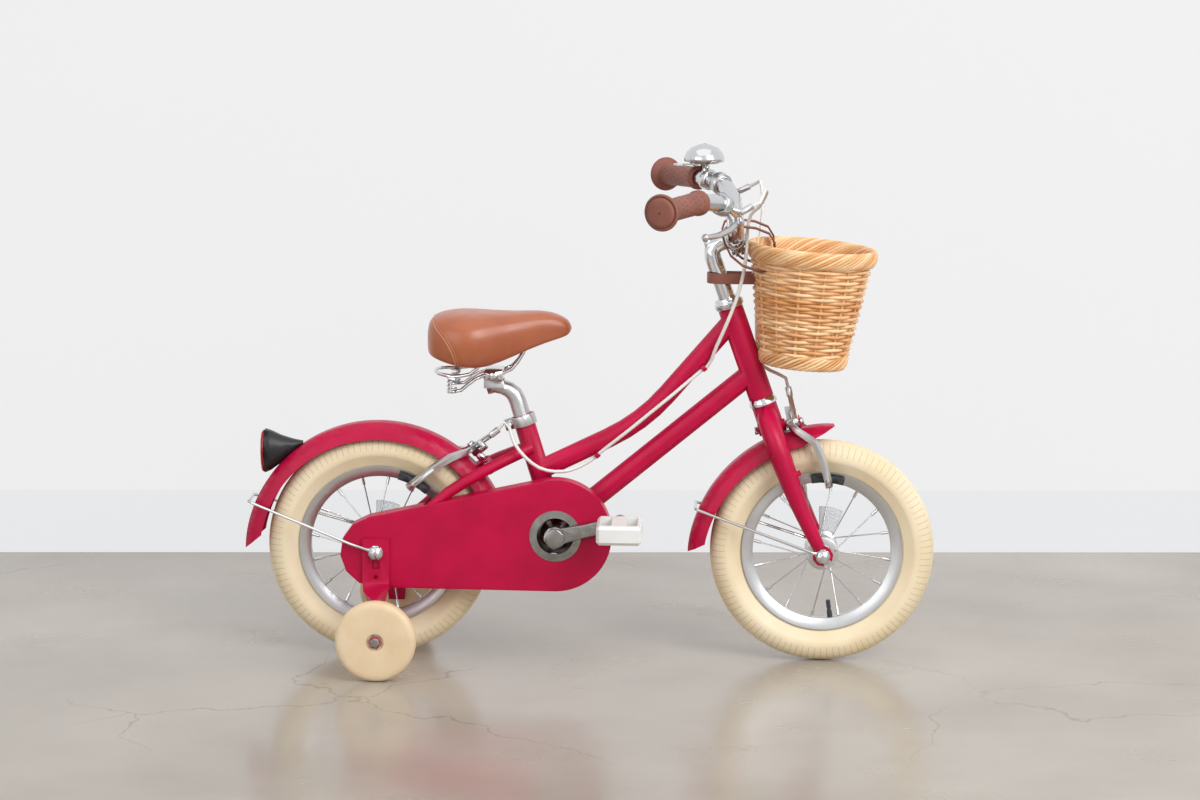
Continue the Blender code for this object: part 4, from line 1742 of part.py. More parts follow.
lever_way = (BARREL_TO - BARREL_FROM).normalized()
TUBE_BOW = Vector((0.0, 0.0076, 0.0))
casing_end = BARREL_X - 0.0054 - GAP
right_exit = lever_exit(-1)
right_exit.y = -abs(right_exit.y)
rear_cable = [
    right_exit, right_exit + lever_way * 0.012,
    from_race(-0.0035, -0.1180, 0.2926), from_race(-0.0005, -0.0920, 0.2866),
    from_race(-0.0085, -0.0620, 0.2666), from_race(-0.0185, -0.0440, 0.2556),
    from_race(-0.0230, -0.0340, 0.2416), from_race(-0.0246, -0.0310, 0.2226),
    from_race(-0.0249, -0.0300, 0.2026), from_race(-0.0285, -0.0295, 0.1736),
    from_race(-0.0375, -0.0290, 0.1386), from_race(-0.0505, -0.0270, 0.1036),
    from_race(-0.0635, -0.0200, 0.0726),
    GUIDE_HIGH + GUIDE_RUN * 0.010,
    GUIDE_HIGH - GUIDE_RUN * 0.004, GUIDE_HIGH - GUIDE_RUN * 0.020 - TUBE_BOW * 0.35,
    GUIDE_HIGH.lerp(GUIDE_LOW, 0.3) - TUBE_BOW * 1.2,
    GUIDE_HIGH.lerp(GUIDE_LOW, 0.5) - TUBE_BOW * 1.3,
    GUIDE_HIGH.lerp(GUIDE_LOW, 0.7) - TUBE_BOW * 1.3,
    GUIDE_LOW + GUIDE_RUN * 0.020 - TUBE_BOW * 0.35, GUIDE_LOW + GUIDE_RUN * 0.004,
    GUIDE_LOW - GUIDE_RUN * 0.014,
    REAR_CAL + Vector((0.1225, -0.0230, -0.0246)), REAR_CAL + Vector((0.0875, -0.0340, -0.0186)),
    REAR_CAL + Vector((0.0575, -0.0360, 0.0094)),
    calliper_spot(REAR_BRAKE, casing_end - 0.0140, BARREL_Y, -ARM_LAYER),
    calliper_spot(REAR_BRAKE, casing_end, BARREL_Y, -ARM_LAYER)]
wire_run = ((casing_end - 0.004, BARREL_Y, -ARM_LAYER), (ANCHOR_X + 0.0080, BARREL_Y, -ARM_LAYER))
cable("rear_brake_cable", rear_cable, wire_run, None, REAR_BRAKE)
left_exit = Vector((right_exit.x, -right_exit.y, right_exit.z))
front_cable = [
    left_exit, left_exit + Vector((lever_way.x, -lever_way.y, lever_way.z)) * 0.012,
    from_race(-0.0045, 0.1220, 0.2816), from_race(-0.0015, 0.1120, 0.2486),
    from_race(-0.0055, 0.1000, 0.1986), from_race(-0.0085, 0.0780, 0.1436),
    from_race(-0.0085, 0.0520, 0.0886), from_race(-0.0065, 0.0400, 0.0606),
    from_race(0.0005, 0.0350, 0.0416), from_race(0.0175, 0.0290, 0.0336),
    calliper_spot(FRONT_BRAKE, casing_end - 0.0110, BARREL_Y, -ARM_LAYER),
    calliper_spot(FRONT_BRAKE, casing_end, BARREL_Y, -ARM_LAYER)]
cable("front_brake_cable", front_cable, wire_run, STEER, FRONT_BRAKE)


# Flat faces with many corners are cut into triangles, so that every reader sees the same.
# A sliver folded back over a face with its corners is then removed.
def faceted(obj, method):
    bm = bmesh.new()
    bm.from_mesh(obj.data)
    many_sided = [face for face in bm.faces if len(face.verts) > 4]
    bmesh.ops.triangulate(bm, faces=many_sided, ngon_method=method)
    folded = {other for face in bm.faces if len(face.verts) == 3
              for edge in face.edges for other in edge.link_faces
              if len(other.verts) == 4 and set(face.verts) < set(other.verts)}
    bmesh.ops.triangulate(bm, faces=sorted(folded, key=lambda face: face.index))
    by_corners = {}
    for face in bm.faces:
        by_corners.setdefault(frozenset(face.verts), []).append(face)
    back_to_back = [face for pair in by_corners.values() if len(pair) == 2 for face in pair]
    bmesh.ops.delete(bm, geom=back_to_back, context="FACES")
    closed = all(len(edge.link_faces) == 2 for edge in bm.edges)
    if closed:
        bm.to_mesh(obj.data)
    bm.free()
    return closed


for obj in PARTS.objects:
    if not faceted(obj, "EAR_CLIP"):
        faceted(obj, "BEAUTY")
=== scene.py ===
import json
from math import cos, pi, radians, sin
import bmesh
import bpy
from mathutils import Matrix, Vector
from mathutils.bvhtree import BVHTree
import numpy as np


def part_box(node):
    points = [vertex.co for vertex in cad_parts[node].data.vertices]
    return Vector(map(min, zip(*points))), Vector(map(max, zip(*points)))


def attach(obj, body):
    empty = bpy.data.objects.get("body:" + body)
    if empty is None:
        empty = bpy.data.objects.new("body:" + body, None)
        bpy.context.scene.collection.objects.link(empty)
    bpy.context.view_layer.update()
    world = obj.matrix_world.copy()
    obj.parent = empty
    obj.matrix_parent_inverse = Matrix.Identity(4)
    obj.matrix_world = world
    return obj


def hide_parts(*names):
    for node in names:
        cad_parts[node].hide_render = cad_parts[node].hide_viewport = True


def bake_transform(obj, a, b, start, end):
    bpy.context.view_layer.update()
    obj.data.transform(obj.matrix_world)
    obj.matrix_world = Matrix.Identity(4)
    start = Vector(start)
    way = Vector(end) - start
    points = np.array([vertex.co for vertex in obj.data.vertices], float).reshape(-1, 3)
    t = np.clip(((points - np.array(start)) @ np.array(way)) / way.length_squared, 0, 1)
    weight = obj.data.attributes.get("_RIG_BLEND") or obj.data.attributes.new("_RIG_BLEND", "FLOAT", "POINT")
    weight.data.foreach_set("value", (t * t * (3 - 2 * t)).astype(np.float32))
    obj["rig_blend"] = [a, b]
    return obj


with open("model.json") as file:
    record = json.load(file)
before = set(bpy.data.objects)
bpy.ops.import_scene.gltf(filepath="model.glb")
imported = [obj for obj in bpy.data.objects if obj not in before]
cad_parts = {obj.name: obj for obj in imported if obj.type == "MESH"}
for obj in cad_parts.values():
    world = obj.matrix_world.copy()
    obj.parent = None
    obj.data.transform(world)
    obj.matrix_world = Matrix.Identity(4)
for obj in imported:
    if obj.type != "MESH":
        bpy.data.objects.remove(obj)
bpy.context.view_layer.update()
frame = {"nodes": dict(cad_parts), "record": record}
scene = bpy.context.scene
scene.view_settings.view_transform = "Standard"
print("stage: frame loaded")


# The photograph's viewpoint
cameraValues = {"azimuth": 1.59, "elevation": 8.84, "roll": 0.51, "distance": 4.5462,
                "focal": 3401.3, "target": (0.2945, 0.0, 0.34917), "imageWidth": 1200}


def placeCamera(v):
    data = bpy.data.cameras.new("studioCamera")
    data.sensor_width = 36.0
    data.lens = 36.0 * v["focal"] / v["imageWidth"]
    turn, rise, roll = (radians(v[key]) for key in ("azimuth", "elevation", "roll"))
    back = Vector((sin(turn) * cos(rise), -cos(turn) * cos(rise), sin(rise)))
    level = Vector((cos(turn), sin(turn), 0.0))
    up = back.cross(level).normalized()
    right = level * cos(roll) + up * sin(roll)
    up = back.cross(right)
    camera = bpy.data.objects.new("studioCamera", data)
    camera.matrix_world = (Matrix.Translation(Vector(v["target"]) + back * v["distance"])
                           @ Matrix((right, up, back)).transposed().to_4x4())
    scene.collection.objects.link(camera)
    scene.camera = camera


placeCamera(cameraValues)


# Materials
def linearColour(code, alpha=1.0):
    parts = [int(code[i:i + 2], 16) / 255 for i in (1, 3, 5)]
    return [p / 12.92 if p <= 0.04045 else ((p + 0.055) / 1.055) ** 2.4 for p in parts] + [alpha]


def addNode(tree, kind, inputs=None, **settings):
    node = tree.nodes.new(kind)
    for key, value in settings.items():
        setattr(node, key, value)
    for key, value in (inputs or {}).items():
        if isinstance(value, bpy.types.NodeSocket):
            tree.links.new(value, node.inputs[key])
        else:
            node.inputs[key].default_value = value
    return node


def newMaterial(name, colour, roughness, metallic=0.0, **sockets):
    material = bpy.data.materials.new(name)
    material.use_nodes = True
    tree = material.node_tree
    shader = tree.nodes["Principled BSDF"]
    shader.inputs["Base Color"].default_value = linearColour(colour)
    shader.inputs["Roughness"].default_value = roughness
    shader.inputs["Metallic"].default_value = metallic
    for key, value in sockets.items():
        shader.inputs[key.replace("_", " ")].default_value = value
    material.diffuse_color = linearColour(colour)
    return material, tree, shader


def varyColour(tree, shader, light, dark, factor):
    mixed = addNode(tree, "ShaderNodeMix", {0: factor, 6: linearColour(dark),
                                            7: linearColour(light)}, data_type="RGBA")
    tree.links.new(mixed.outputs[2], shader.inputs["Base Color"])
    return mixed


def grain(tree, scale, detail=3.0, stretch=(1, 1, 1), span=None):
    # Noise in the object's own space; span widens it from two levels to 0 and 1 or two others
    where = addNode(tree, "ShaderNodeTexCoord").outputs["Object"]
    spread = addNode(tree, "ShaderNodeMapping", {"Vector": where, "Scale": stretch})
    noise = addNode(tree, "ShaderNodeTexNoise", {"Vector": spread.outputs[0], "Scale": scale,
                                                 "Detail": detail}).outputs["Fac"]
    if not span:
        return noise
    ends = dict(zip(("From Min", "From Max", "To Min", "To Max"), (*span, 0.0, 1.0)))
    return addNode(tree, "ShaderNodeMapRange", {"Value": noise, **ends}).outputs[0]


def bumpFrom(tree, shader, height, strength, distance):
    bump = addNode(tree, "ShaderNodeBump", {"Height": height, "Strength": strength,
                                            "Distance": distance})
    tree.links.new(bump.outputs[0], shader.inputs["Normal"])


# Powder coat on steel: baked on, so an even satin film with a faint orange peel
powderCoat, tree, shader = newMaterial("crimsonPowderCoat", "#BE003F", 0.42,
                                       Specular_IOR_Level=0.3)
varyColour(tree, shader, "#C20041", "#B4003A", grain(tree, 22.0, span=(0.35, 0.65)))
tree.links.new(grain(tree, 60.0, span=(0.3, 0.7, 0.36, 0.45)), shader.inputs["Roughness"])
bumpFrom(tree, shader, grain(tree, 700.0, 2.0), 0.10, 0.0003)  # peel cells of about 1.5 mm

# Electroplated chrome: a mirror with hardly any texture
chromePlate, tree, shader = newMaterial("chromePlate", "#D9DADC", 0.09, 1.0)
tree.links.new(grain(tree, 45.0, span=(0.3, 0.7, 0.07, 0.15)), shader.inputs["Roughness"])

# Anodised aluminium, bead blasted first: soft silver with a fine speckle
anodised, tree, shader = newMaterial("anodisedAluminium", "#CFD0D1", 0.34, 1.0)
tree.links.new(grain(tree, 320.0, span=(0.3, 0.7, 0.28, 0.40)), shader.inputs["Roughness"])
varyColour(tree, shader, "#D6D7D8", "#C2C3C5", grain(tree, 30.0))

# Zinc-plated steel: greyer than chrome and a little cloudy
zincSteel, tree, shader = newMaterial("zincPlatedSteel", "#9C9A97", 0.33, 1.0)
varyColour(tree, shader, "#A7A5A1", "#8B8986", grain(tree, 90.0, span=(0.3, 0.7)))
tree.links.new(grain(tree, 150.0, span=(0.3, 0.7, 0.25, 0.42)), shader.inputs["Roughness"])

# Spoke wire: drawn stainless, bright along its length
spokeWire, tree, shader = newMaterial("drawnStainlessWire", "#C9CACB", 0.2, 1.0)
tree.links.new(grain(tree, 200.0, span=(0.3, 0.7, 0.15, 0.27)), shader.inputs["Roughness"])

# ABS, moulded: black with a fine spark texture
blackAbs, tree, shader = newMaterial("blackAbs", "#1B1B1D", 0.42)
bumpFrom(tree, shader, grain(tree, 1500.0, 2.0), 0.25, 0.0002)
varyColour(tree, shader, "#232326", "#161618", grain(tree, 60.0))

# Polycarbonate lens, clear red over moulded prisms
redLens, tree, shader = newMaterial("redPolycarbonate", "#A80E12", 0.12)
prisms = addNode(tree, "ShaderNodeTexVoronoi", {
    "Vector": addNode(tree, "ShaderNodeTexCoord").outputs["Object"], "Scale": 330.0})
bumpFrom(tree, shader, prisms.outputs["Distance"], 0.6, 0.0008)  # prisms of about 3 mm

# Acrylic reflector: clear, with a grid of corner cubes that glint
clearReflector, tree, shader = newMaterial("clearAcrylic", "#DDE2E4", 0.08,
                                           Transmission_Weight=0.45, IOR=1.49)
cubes = addNode(tree, "ShaderNodeTexVoronoi", {
    "Vector": addNode(tree, "ShaderNodeTexCoord").outputs["Object"], "Scale": 420.0},
    distance="CHEBYCHEV")
bumpFrom(tree, shader, cubes.outputs["Distance"], 0.8, 0.001)

# Polypropylene, moulded and slightly translucent white
whitePlastic, tree, shader = newMaterial("whitePolypropylene", "#E9E9E6", 0.38,
                                         Subsurface_Weight=0.08, Subsurface_Scale=0.003)
varyColour(tree, shader, "#EFEFED", "#DFDEDA", grain(tree, 40.0))
bumpFrom(tree, shader, grain(tree, 900.0, 2.0), 0.12, 0.0002)

# PVC cable casing: smooth, glossy white
cableCasing, tree, shader = newMaterial("whitePvcCasing", "#E8E7E3", 0.27)
varyColour(tree, shader, "#EDECE8", "#DCDAD4", grain(tree, 30.0))

# Cream training wheel: moulded PP with a sand-like face
creamPlastic, tree, shader = newMaterial("creamPolypropylene", "#E9D0AC", 0.48)
varyColour(tree, shader, "#ECD5B3", "#E0C59E", grain(tree, 25.0, span=(0.3, 0.7)))
bumpFrom(tree, shader, grain(tree, 1100.0, 2.0), 0.22, 0.0003)

# Brake pad and valve rubber: moulded, dull
darkRubber, tree, shader = newMaterial("blackRubber", "#2B2F33", 0.6)
bumpFrom(tree, shader, grain(tree, 800.0, 2.0), 0.3, 0.0003)
varyColour(tree, shader, "#33383D", "#23262A", grain(tree, 80.0))


def wheelPolar(tree, centre):
    # Angle round a wheel, distance from its axis, and y, for a pattern that follows it.
    where = addNode(tree, "ShaderNodeTexCoord").outputs["Object"]
    parts = addNode(tree, "ShaderNodeSeparateXYZ", {0: addNode(
        tree, "ShaderNodeMapping", {"Vector": where,
                                    "Location": (-centre[0], 0.0, -centre[1])}).outputs[0]})
    x, y, z = parts.outputs
    angle = addNode(tree, "ShaderNodeMath", {0: z, 1: x}, operation="ARCTAN2").outputs[0]
    xx = addNode(tree, "ShaderNodeMath", {0: x, 1: x}, operation="MULTIPLY").outputs[0]
    total = addNode(tree, "ShaderNodeMath", {0: z, 1: z, 2: xx}, operation="MULTIPLY_ADD")
    reach = addNode(tree, "ShaderNodeMath", {0: total.outputs[0]}, operation="SQRT").outputs[0]
    return angle, reach, addNode(tree, "ShaderNodeMath", {0: y}, operation="ABSOLUTE").outputs[0]


tyreLook = {"knobs": 104, "grooveDepth": 0.0011, "grooveShare": 0.12, "shoulderFrom": 0.1300,
            "shoulderTo": 0.1475, "fade": 0.0012, "threadPitch": 0.0036}


def creamTyre(name, centre, v):
    # Natural rubber, vulcanised in a mould: matt cream, with painted shade darkening the tread grooves and
    # rings on the shoulder towards a yellow-brown
    material, tree, shader = newMaterial(name, "#F0DFB8", 0.58)
    angle, reach, side = wheelPolar(tree, centre)
    turns = addNode(tree, "ShaderNodeMath", {0: angle, 1: v["knobs"] / (2 * pi)},
                    operation="MULTIPLY").outputs[0]
    cell = addNode(tree, "ShaderNodeMath", {0: turns}, operation="FRACT").outputs[0]
    groove = addNode(tree, "ShaderNodeMath", {0: cell, 1: v["grooveShare"]},
                     operation="LESS_THAN").outputs[0]
    ends = [addNode(tree, "ShaderNodeMapRange", {
        "Value": reach, "From Min": start, "From Max": start + fade}).outputs[0]
        for start, fade in ((v["shoulderFrom"], v["fade"]), (v["shoulderTo"], -v["fade"]))]
    band = addNode(tree, "ShaderNodeMath", {0: ends[0], 1: ends[1]},
                   operation="MULTIPLY").outputs[0]
    cuts = addNode(tree, "ShaderNodeMath", {0: groove, 1: band}, operation="MULTIPLY").outputs[0]
    rings = addNode(tree, "ShaderNodeMath", {0: reach, 1: 2 * pi / v["threadPitch"]},
                    operation="MULTIPLY")
    wave = addNode(tree, "ShaderNodeMath", {0: rings.outputs[0]}, operation="SINE").outputs[0]
    thread = addNode(tree, "ShaderNodeMapRange", {"Value": wave, "From Min": 0.86}).outputs[0]
    fine = addNode(tree, "ShaderNodeMath", {0: thread, 1: band}, operation="MULTIPLY").outputs[0]
    both = addNode(tree, "ShaderNodeMath", {0: fine, 1: 0.35, 2: cuts}, operation="MULTIPLY_ADD",
                   use_clamp=True).outputs[0]
    height = addNode(tree, "ShaderNodeMath", {0: 1.0, 1: both}, operation="SUBTRACT").outputs[0]
    bumpFrom(tree, shader, height, 0.55, v["grooveDepth"])
    cloud = grain(tree, 16.0, span=(0.3, 0.7))
    mixed = varyColour(tree, shader, "#F3E3C4", "#EAD6B0", cloud)
    # Painted shade: the grooves and thread rings are mixed towards #B49460 to stand for the shade inside
    # them
    shade = addNode(tree, "ShaderNodeMath", {0: both, 1: 0.45}, operation="MULTIPLY").outputs[0]
    grooveShade = addNode(tree, "ShaderNodeMix", {0: shade, 6: mixed.outputs[2],
                                             7: linearColour("#B49460")}, data_type="RGBA")
    tree.links.new(grooveShade.outputs[2], shader.inputs["Base Color"])
    return material


# Leatherette: PVC on cloth, pulled over foam; fine pebbled grain and a soft sheen
leatherette, tree, shader = newMaterial("tanLeatherette", "#B26340", 0.34, Coat_Weight=0.25,
                                        Coat_Roughness=0.24)
pebbles = addNode(tree, "ShaderNodeTexVoronoi", {
    "Vector": addNode(tree, "ShaderNodeTexCoord").outputs["Object"], "Scale": 620.0},
    feature="SMOOTH_F1")
bumpFrom(tree, shader, pebbles.outputs["Distance"], 0.14, 0.0003)  # grain of about 1.6 mm
varyColour(tree, shader, "#B86944", "#A25433", grain(tree, 14.0, 4.0, span=(0.3, 0.72)))
tree.links.new(grain(tree, 70.0, span=(0.3, 0.7, 0.28, 0.40)), shader.inputs["Roughness"])

threadLook, tree, shader = newMaterial("waxedThread", "#C98A64", 0.6)
varyColour(tree, shader, "#D2946E", "#A8694A", grain(tree, 400.0))

# Grips and straps: soft moulded rubber in a dusty brown
brownRubber, tree, shader = newMaterial("brownRubber", "#8B5547", 0.55)
varyColour(tree, shader, "#93594A", "#7C493C", grain(tree, 24.0, span=(0.3, 0.7)))
bumpFrom(tree, shader, grain(tree, 900.0, 2.0), 0.25, 0.0003)
# Painted shade: the grips' small holes and the pip at each end are dark brown dots that stand for the shade
# inside hollows
paintedHoleShade, tree, shader = newMaterial("brownRubberHoleShade", "#3E231C", 0.8)
varyColour(tree, shader, "#442821", "#351D17", grain(tree, 200.0))


def willow(name, light, dark):
    # Buff willow: boiled and peeled canes, satin skin with long streaks and darker ones here
    # and there
    material, tree, shader = newMaterial(name, light, 0.42)
    where = addNode(tree, "ShaderNodeTexCoord").outputs["Object"]
    patch = addNode(tree, "ShaderNodeTexNoise", {"Vector": where, "Scale": 38.0, "Detail": 3.0})
    own = addNode(tree, "ShaderNodeAttribute", attribute_name="caneTone").outputs["Fac"]
    half = addNode(tree, "ShaderNodeMath", {0: own, 1: patch.outputs["Fac"]}, operation="ADD")
    tone = addNode(tree, "ShaderNodeMapRange", {"Value": half.outputs[0], "From Min": 0.55,
                                                "From Max": 1.25}).outputs[0]
    varyColour(tree, shader, light, dark, tone)
    bumpFrom(tree, shader, grain(tree, 260.0, 2.0, (0.25, 0.25, 2.0)), 0.3, 0.0004)
    return material


caneLook = willow("buffWillow", "#FAD3A2", "#DE9F62")

# Studio floor: sealed concrete, pale, with a soft sheen; the wall is plain paint
floorLook, tree, shader = newMaterial("sealedConcrete", "#AEA69B", 0.22)
cloudy = grain(tree, 2.2, 6.0, span=(0.3, 0.7))
mixed = varyColour(tree, shader, "#B0A89D", "#988F84", cloudy)
flat = addNode(tree, "ShaderNodeTexCoord").outputs["Object"]
bend = addNode(tree, "ShaderNodeTexNoise", {"Vector": flat, "Scale": 3.0, "Detail": 6.0})
bent = addNode(tree, "ShaderNodeVectorMath", {0: bend.outputs["Color"], "Scale": 0.30},
               operation="SCALE").outputs[0]
warped = addNode(tree, "ShaderNodeVectorMath", {0: flat, 1: bent}, operation="ADD").outputs[0]
cells = addNode(tree, "ShaderNodeTexVoronoi", {"Vector": warped, "Scale": 1.9},
                feature="DISTANCE_TO_EDGE").outputs["Distance"]
hairline = addNode(tree, "ShaderNodeMapRange", {  # shrinkage cracks, 1 to 2 mm wide
    "Value": cells, "From Max": 0.0035, "To Min": 1.0, "To Max": 0.0}).outputs[0]
gate = grain(tree, 1.3, 2.0, span=(0.50, 0.58))
crack = addNode(tree, "ShaderNodeMath", {0: hairline, 1: gate}, operation="MULTIPLY").outputs[0]
marked = addNode(tree, "ShaderNodeMix", {
    0: addNode(tree, "ShaderNodeMath", {0: crack, 1: 0.55}, operation="MULTIPLY").outputs[0],
    6: mixed.outputs[2], 7: linearColour("#6F675D")}, data_type="RGBA").outputs[2]
tree.links.new(marked, shader.inputs["Base Color"])
tree.links.new(grain(tree, 5.0, 4.0, span=(0.3, 0.7, 0.15, 0.30)),
               shader.inputs["Roughness"])


def paintedWall(name, colour, light, dark):
    # Matt white paint that stays pale to the camera and lets a view from behind through
    material, tree, shader = newMaterial(name, colour, 0.9)
    varyColour(tree, shader, light, dark, grain(tree, 3.0))
    rays = addNode(tree, "ShaderNodeLightPath").outputs
    seen = addNode(tree, "ShaderNodeMath", {0: rays["Is Camera Ray"],
                                            1: rays["Is Glossy Ray"]},
                   operation="MAXIMUM").outputs[0]
    share = addNode(tree, "ShaderNodeMath", {0: seen, 1: 0.85}, operation="MULTIPLY").outputs[0]
    plain = addNode(tree, "ShaderNodeEmission", {"Color": linearColour(dark), "Strength": 1.0})
    painted = addNode(tree, "ShaderNodeMixShader", {0: share, 1: shader.outputs[0],
                                                    2: plain.outputs[0]}).outputs[0]
    reverse = addNode(tree, "ShaderNodeNewGeometry").outputs["Backfacing"]
    clear = addNode(tree, "ShaderNodeBsdfTransparent").outputs[0]
    oneSided = addNode(tree, "ShaderNodeMixShader", {0: reverse, 1: painted, 2: clear})
    tree.links.new(oneSided.outputs[0], tree.nodes["Material Output"].inputs["Surface"])
    return material


wallLook = paintedWall("wallPaint", "#F3F3F4", "#F4F4F5", "#F0F0F1")
skirtingLook = paintedWall("skirtingPaint", "#EDEEF0", "#EFF0F1", "#EAEBED")
print("stage: materials made")


# Mesh helpers
def newObject(name, vertices, faces, material):
    mesh = bpy.data.meshes.new(name)
    mesh.from_pydata([tuple(v) for v in vertices], [], faces)
    mesh.materials.append(material)
    obj = bpy.data.objects.new(name, mesh)
    scene.collection.objects.link(obj)
    bm = bmesh.new()
    bm.from_mesh(mesh)
    bmesh.ops.remove_doubles(bm, verts=bm.verts, dist=1e-6)
    bmesh.ops.recalc_face_normals(bm, faces=bm.faces)
    bm.to_mesh(mesh)
    bm.free()
    return obj


def softShading(mesh, degrees):
    mesh.polygons.foreach_set("use_smooth", [True] * len(mesh.polygons))
    mesh.set_sharp_from_angle(angle=radians(degrees))


def applied(obj):
    # The object's mesh with its modifiers and place worked in.
    bpy.context.view_layer.update()
    seen = obj.evaluated_get(bpy.context.evaluated_depsgraph_get())
    mesh = bpy.data.meshes.new_from_object(seen)
    obj.modifiers.clear()
    obj.data = mesh
    return obj


def lathe(name, profile, centre, axis, material, steps=72, degrees=38):
    # A profile of (radius, distance along the axis) turned about it; closed if it ends so.
    axis = Vector(axis).normalized()
    side = axis.orthogonal().normalized()
    other = axis.cross(side)
    rings = []
    for i in range(steps):
        a = 2 * pi * i / steps
        out = side * cos(a) + other * sin(a)
        rings.append([Vector(centre) + out * r + axis * h for r, h in profile])
    count = len(profile)
    vertices = [p for ring in rings for p in ring]
    faces = []
    for i in range(steps):
        j = (i + 1) % steps
        for k in range(count - 1):
            faces.append((i * count + k, j * count + k, j * count + k + 1, i * count + k + 1))
    obj = newObject(name, vertices, faces, material)
    bm = bmesh.new()
    bm.from_mesh(obj.data)
    bmesh.ops.dissolve_degenerate(bm, dist=1e-7, edges=bm.edges)
    bmesh.ops.recalc_face_normals(bm, faces=bm.faces)
    bm.to_mesh(obj.data)
    bm.free()
    softShading(obj.data, degrees)
    return obj


def sweep(name, points, radius, material, sides=10, closed=False):
    # A round rod along a smooth curve through the points.
    curve = bpy.data.curves.new(name, "CURVE")
    curve.dimensions = "3D"
    curve.bevel_depth = radius
    curve.bevel_resolution = max(1, sides // 4 - 1)
    curve.use_fill_caps = not closed
    spline = curve.splines.new("POLY")
    spline.points.add(len(points) - 1)
    for spot, p in zip(spline.points, points):
        spot.co = (*p, 1.0)
    spline.use_cyclic_u = closed
    holder = bpy.data.objects.new(name, curve)
    scene.collection.objects.link(holder)
    bpy.context.view_layer.update()
    mesh = bpy.data.meshes.new_from_object(holder.evaluated_get(
        bpy.context.evaluated_depsgraph_get()))
    bpy.data.objects.remove(holder)
    mesh.materials.clear()
    mesh.materials.append(material)
    obj = bpy.data.objects.new(name, mesh)
    scene.collection.objects.link(obj)
    softShading(mesh, 50)
    return obj


def throughPoints(points, count):
    # Evenly numbered points on a Catmull-Rom curve through the given ones.
    ends = [points[0] * 2 - points[1]] + points + [points[-1] * 2 - points[-2]]
    out = []
    for i in range(count):
        t = i / (count - 1) * (len(points) - 1)
        k = min(int(t), len(points) - 2)
        u = t - k
        a, b, c, d = ends[k:k + 4]
        out.append(0.5 * ((2 * b) + (c - a) * u + (2 * a - 5 * b + 4 * c - d) * u * u
                          + (3 * b - a - 3 * c + d) * u * u * u))
    return out


def nodeTree(name, sockets):
    # An empty Geometry Nodes tree with named inputs and a geometry output.
    tree = bpy.data.node_groups.new(name, "GeometryNodeTree")
    tree.interface.new_socket("Geometry", in_out="OUTPUT", socket_type="NodeSocketGeometry")
    for label, kind, value in sockets:
        socket = tree.interface.new_socket(label, in_out="INPUT", socket_type=kind)
        if value is not None:
            socket.default_value = value
    given = addNode(tree, "NodeGroupInput").outputs
    return tree, given


def closeTree(tree, geometry, material):
    real = addNode(tree, "GeometryNodeRealizeInstances", {"Geometry": geometry})
    skin = addNode(tree, "GeometryNodeSetMaterial", {"Geometry": real.outputs[0],
                                                     "Material": material})
    shaded = addNode(tree, "GeometryNodeSetShadeSmooth", {"Geometry": skin.outputs[0]})
    addNode(tree, "NodeGroupOutput", {0: shaded.outputs[0]})


def grown(name, tree, values):
    # Runs a tree once with these inputs and keeps the result as a plain mesh.
    obj = bpy.data.objects.new(name, bpy.data.meshes.new(name))
    scene.collection.objects.link(obj)
    modifier = obj.modifiers.new("shape", "NODES")
    modifier.node_group = tree
    for item in tree.interface.items_tree:
        if item.item_type == "SOCKET" and item.in_out == "INPUT" and item.name in values:
            modifier[item.identifier] = values[item.name]
    return applied(obj)


def copies(tree, shape, count, label):
    # A copy of shape for each number up to count, which its points carry as an attribute.
    spots = addNode(tree, "GeometryNodePoints", {"Count": count})
    placed = addNode(tree, "GeometryNodeInstanceOnPoints", {"Points": spots.outputs[0],
                                                            "Instance": shape.outputs[0]})
    order = addNode(tree, "GeometryNodeInputIndex").outputs[0]
    tagged = addNode(tree, "GeometryNodeStoreNamedAttribute", {
        "Geometry": placed.outputs[0], "Name": label, "Value": order},
        data_type="FLOAT", domain="INSTANCE")
    real = addNode(tree, "GeometryNodeRealizeInstances", {0: tagged.outputs[0]})
    number = addNode(tree, "GeometryNodeInputNamedAttribute", {"Name": label},
                     data_type="FLOAT")
    return real.outputs[0], number.outputs[0]


# Rigid nodes keep their shape: a merged copy of each gets soft shading and its finish
finishes = {
    powderCoat: ("frame", "fork", "rear_mudguard", "front_mudguard", "chain_case",
                 "training_arm_right", "training_arm_left"),
    chromePlate: ("front_axle", "rear_axle", "headset_lower_cup", "headset_upper_cup",
                  "headset_locknut", "rear_mudguard_stay", "front_mudguard_stay",
                  "saddle_frame", "stem", "handlebar", "bell", "bell_lever",
                  "rear_brake_bolt", "front_brake_bolt"),
    anodised: ("seat_clamp", "seat_post", "brake_lever_right", "brake_lever_left",
               "lever_clamp_right", "lever_clamp_left", "rear_brake_arm_barrel",
               "rear_brake_arm_anchor", "front_brake_arm_barrel", "front_brake_arm_anchor"),
    zincSteel: ("chain_case_ring", "chain", "freewheel", "bottom_bracket", "crank_right",
                "crank_left"),
    blackAbs: ("rear_lamp_housing",),
    redLens: ("rear_lamp_lens",),
    whitePlastic: ("pedal_right", "pedal_left"),
    cableCasing: ("rear_brake_cable", "front_brake_cable"),
    brownRubber: ("basket_strap_left", "basket_strap_right", "basket_strap_lower"),
    clearReflector: ("rear_reflector", "front_reflector"),
}
wheelCentres = {"front": (0.594, 0.150), "rear": (0.0, 0.150)}
crankCentre = (0.2383, 0.175)
bodyOf = {node: body for body, group in frame["record"]["behaviour"]["bodies"].items()
          for node in group}
padHolders = {side + "_brake_arm_" + arm: centre for side, centre in wheelCentres.items()
              for arm in ("barrel", "anchor")}
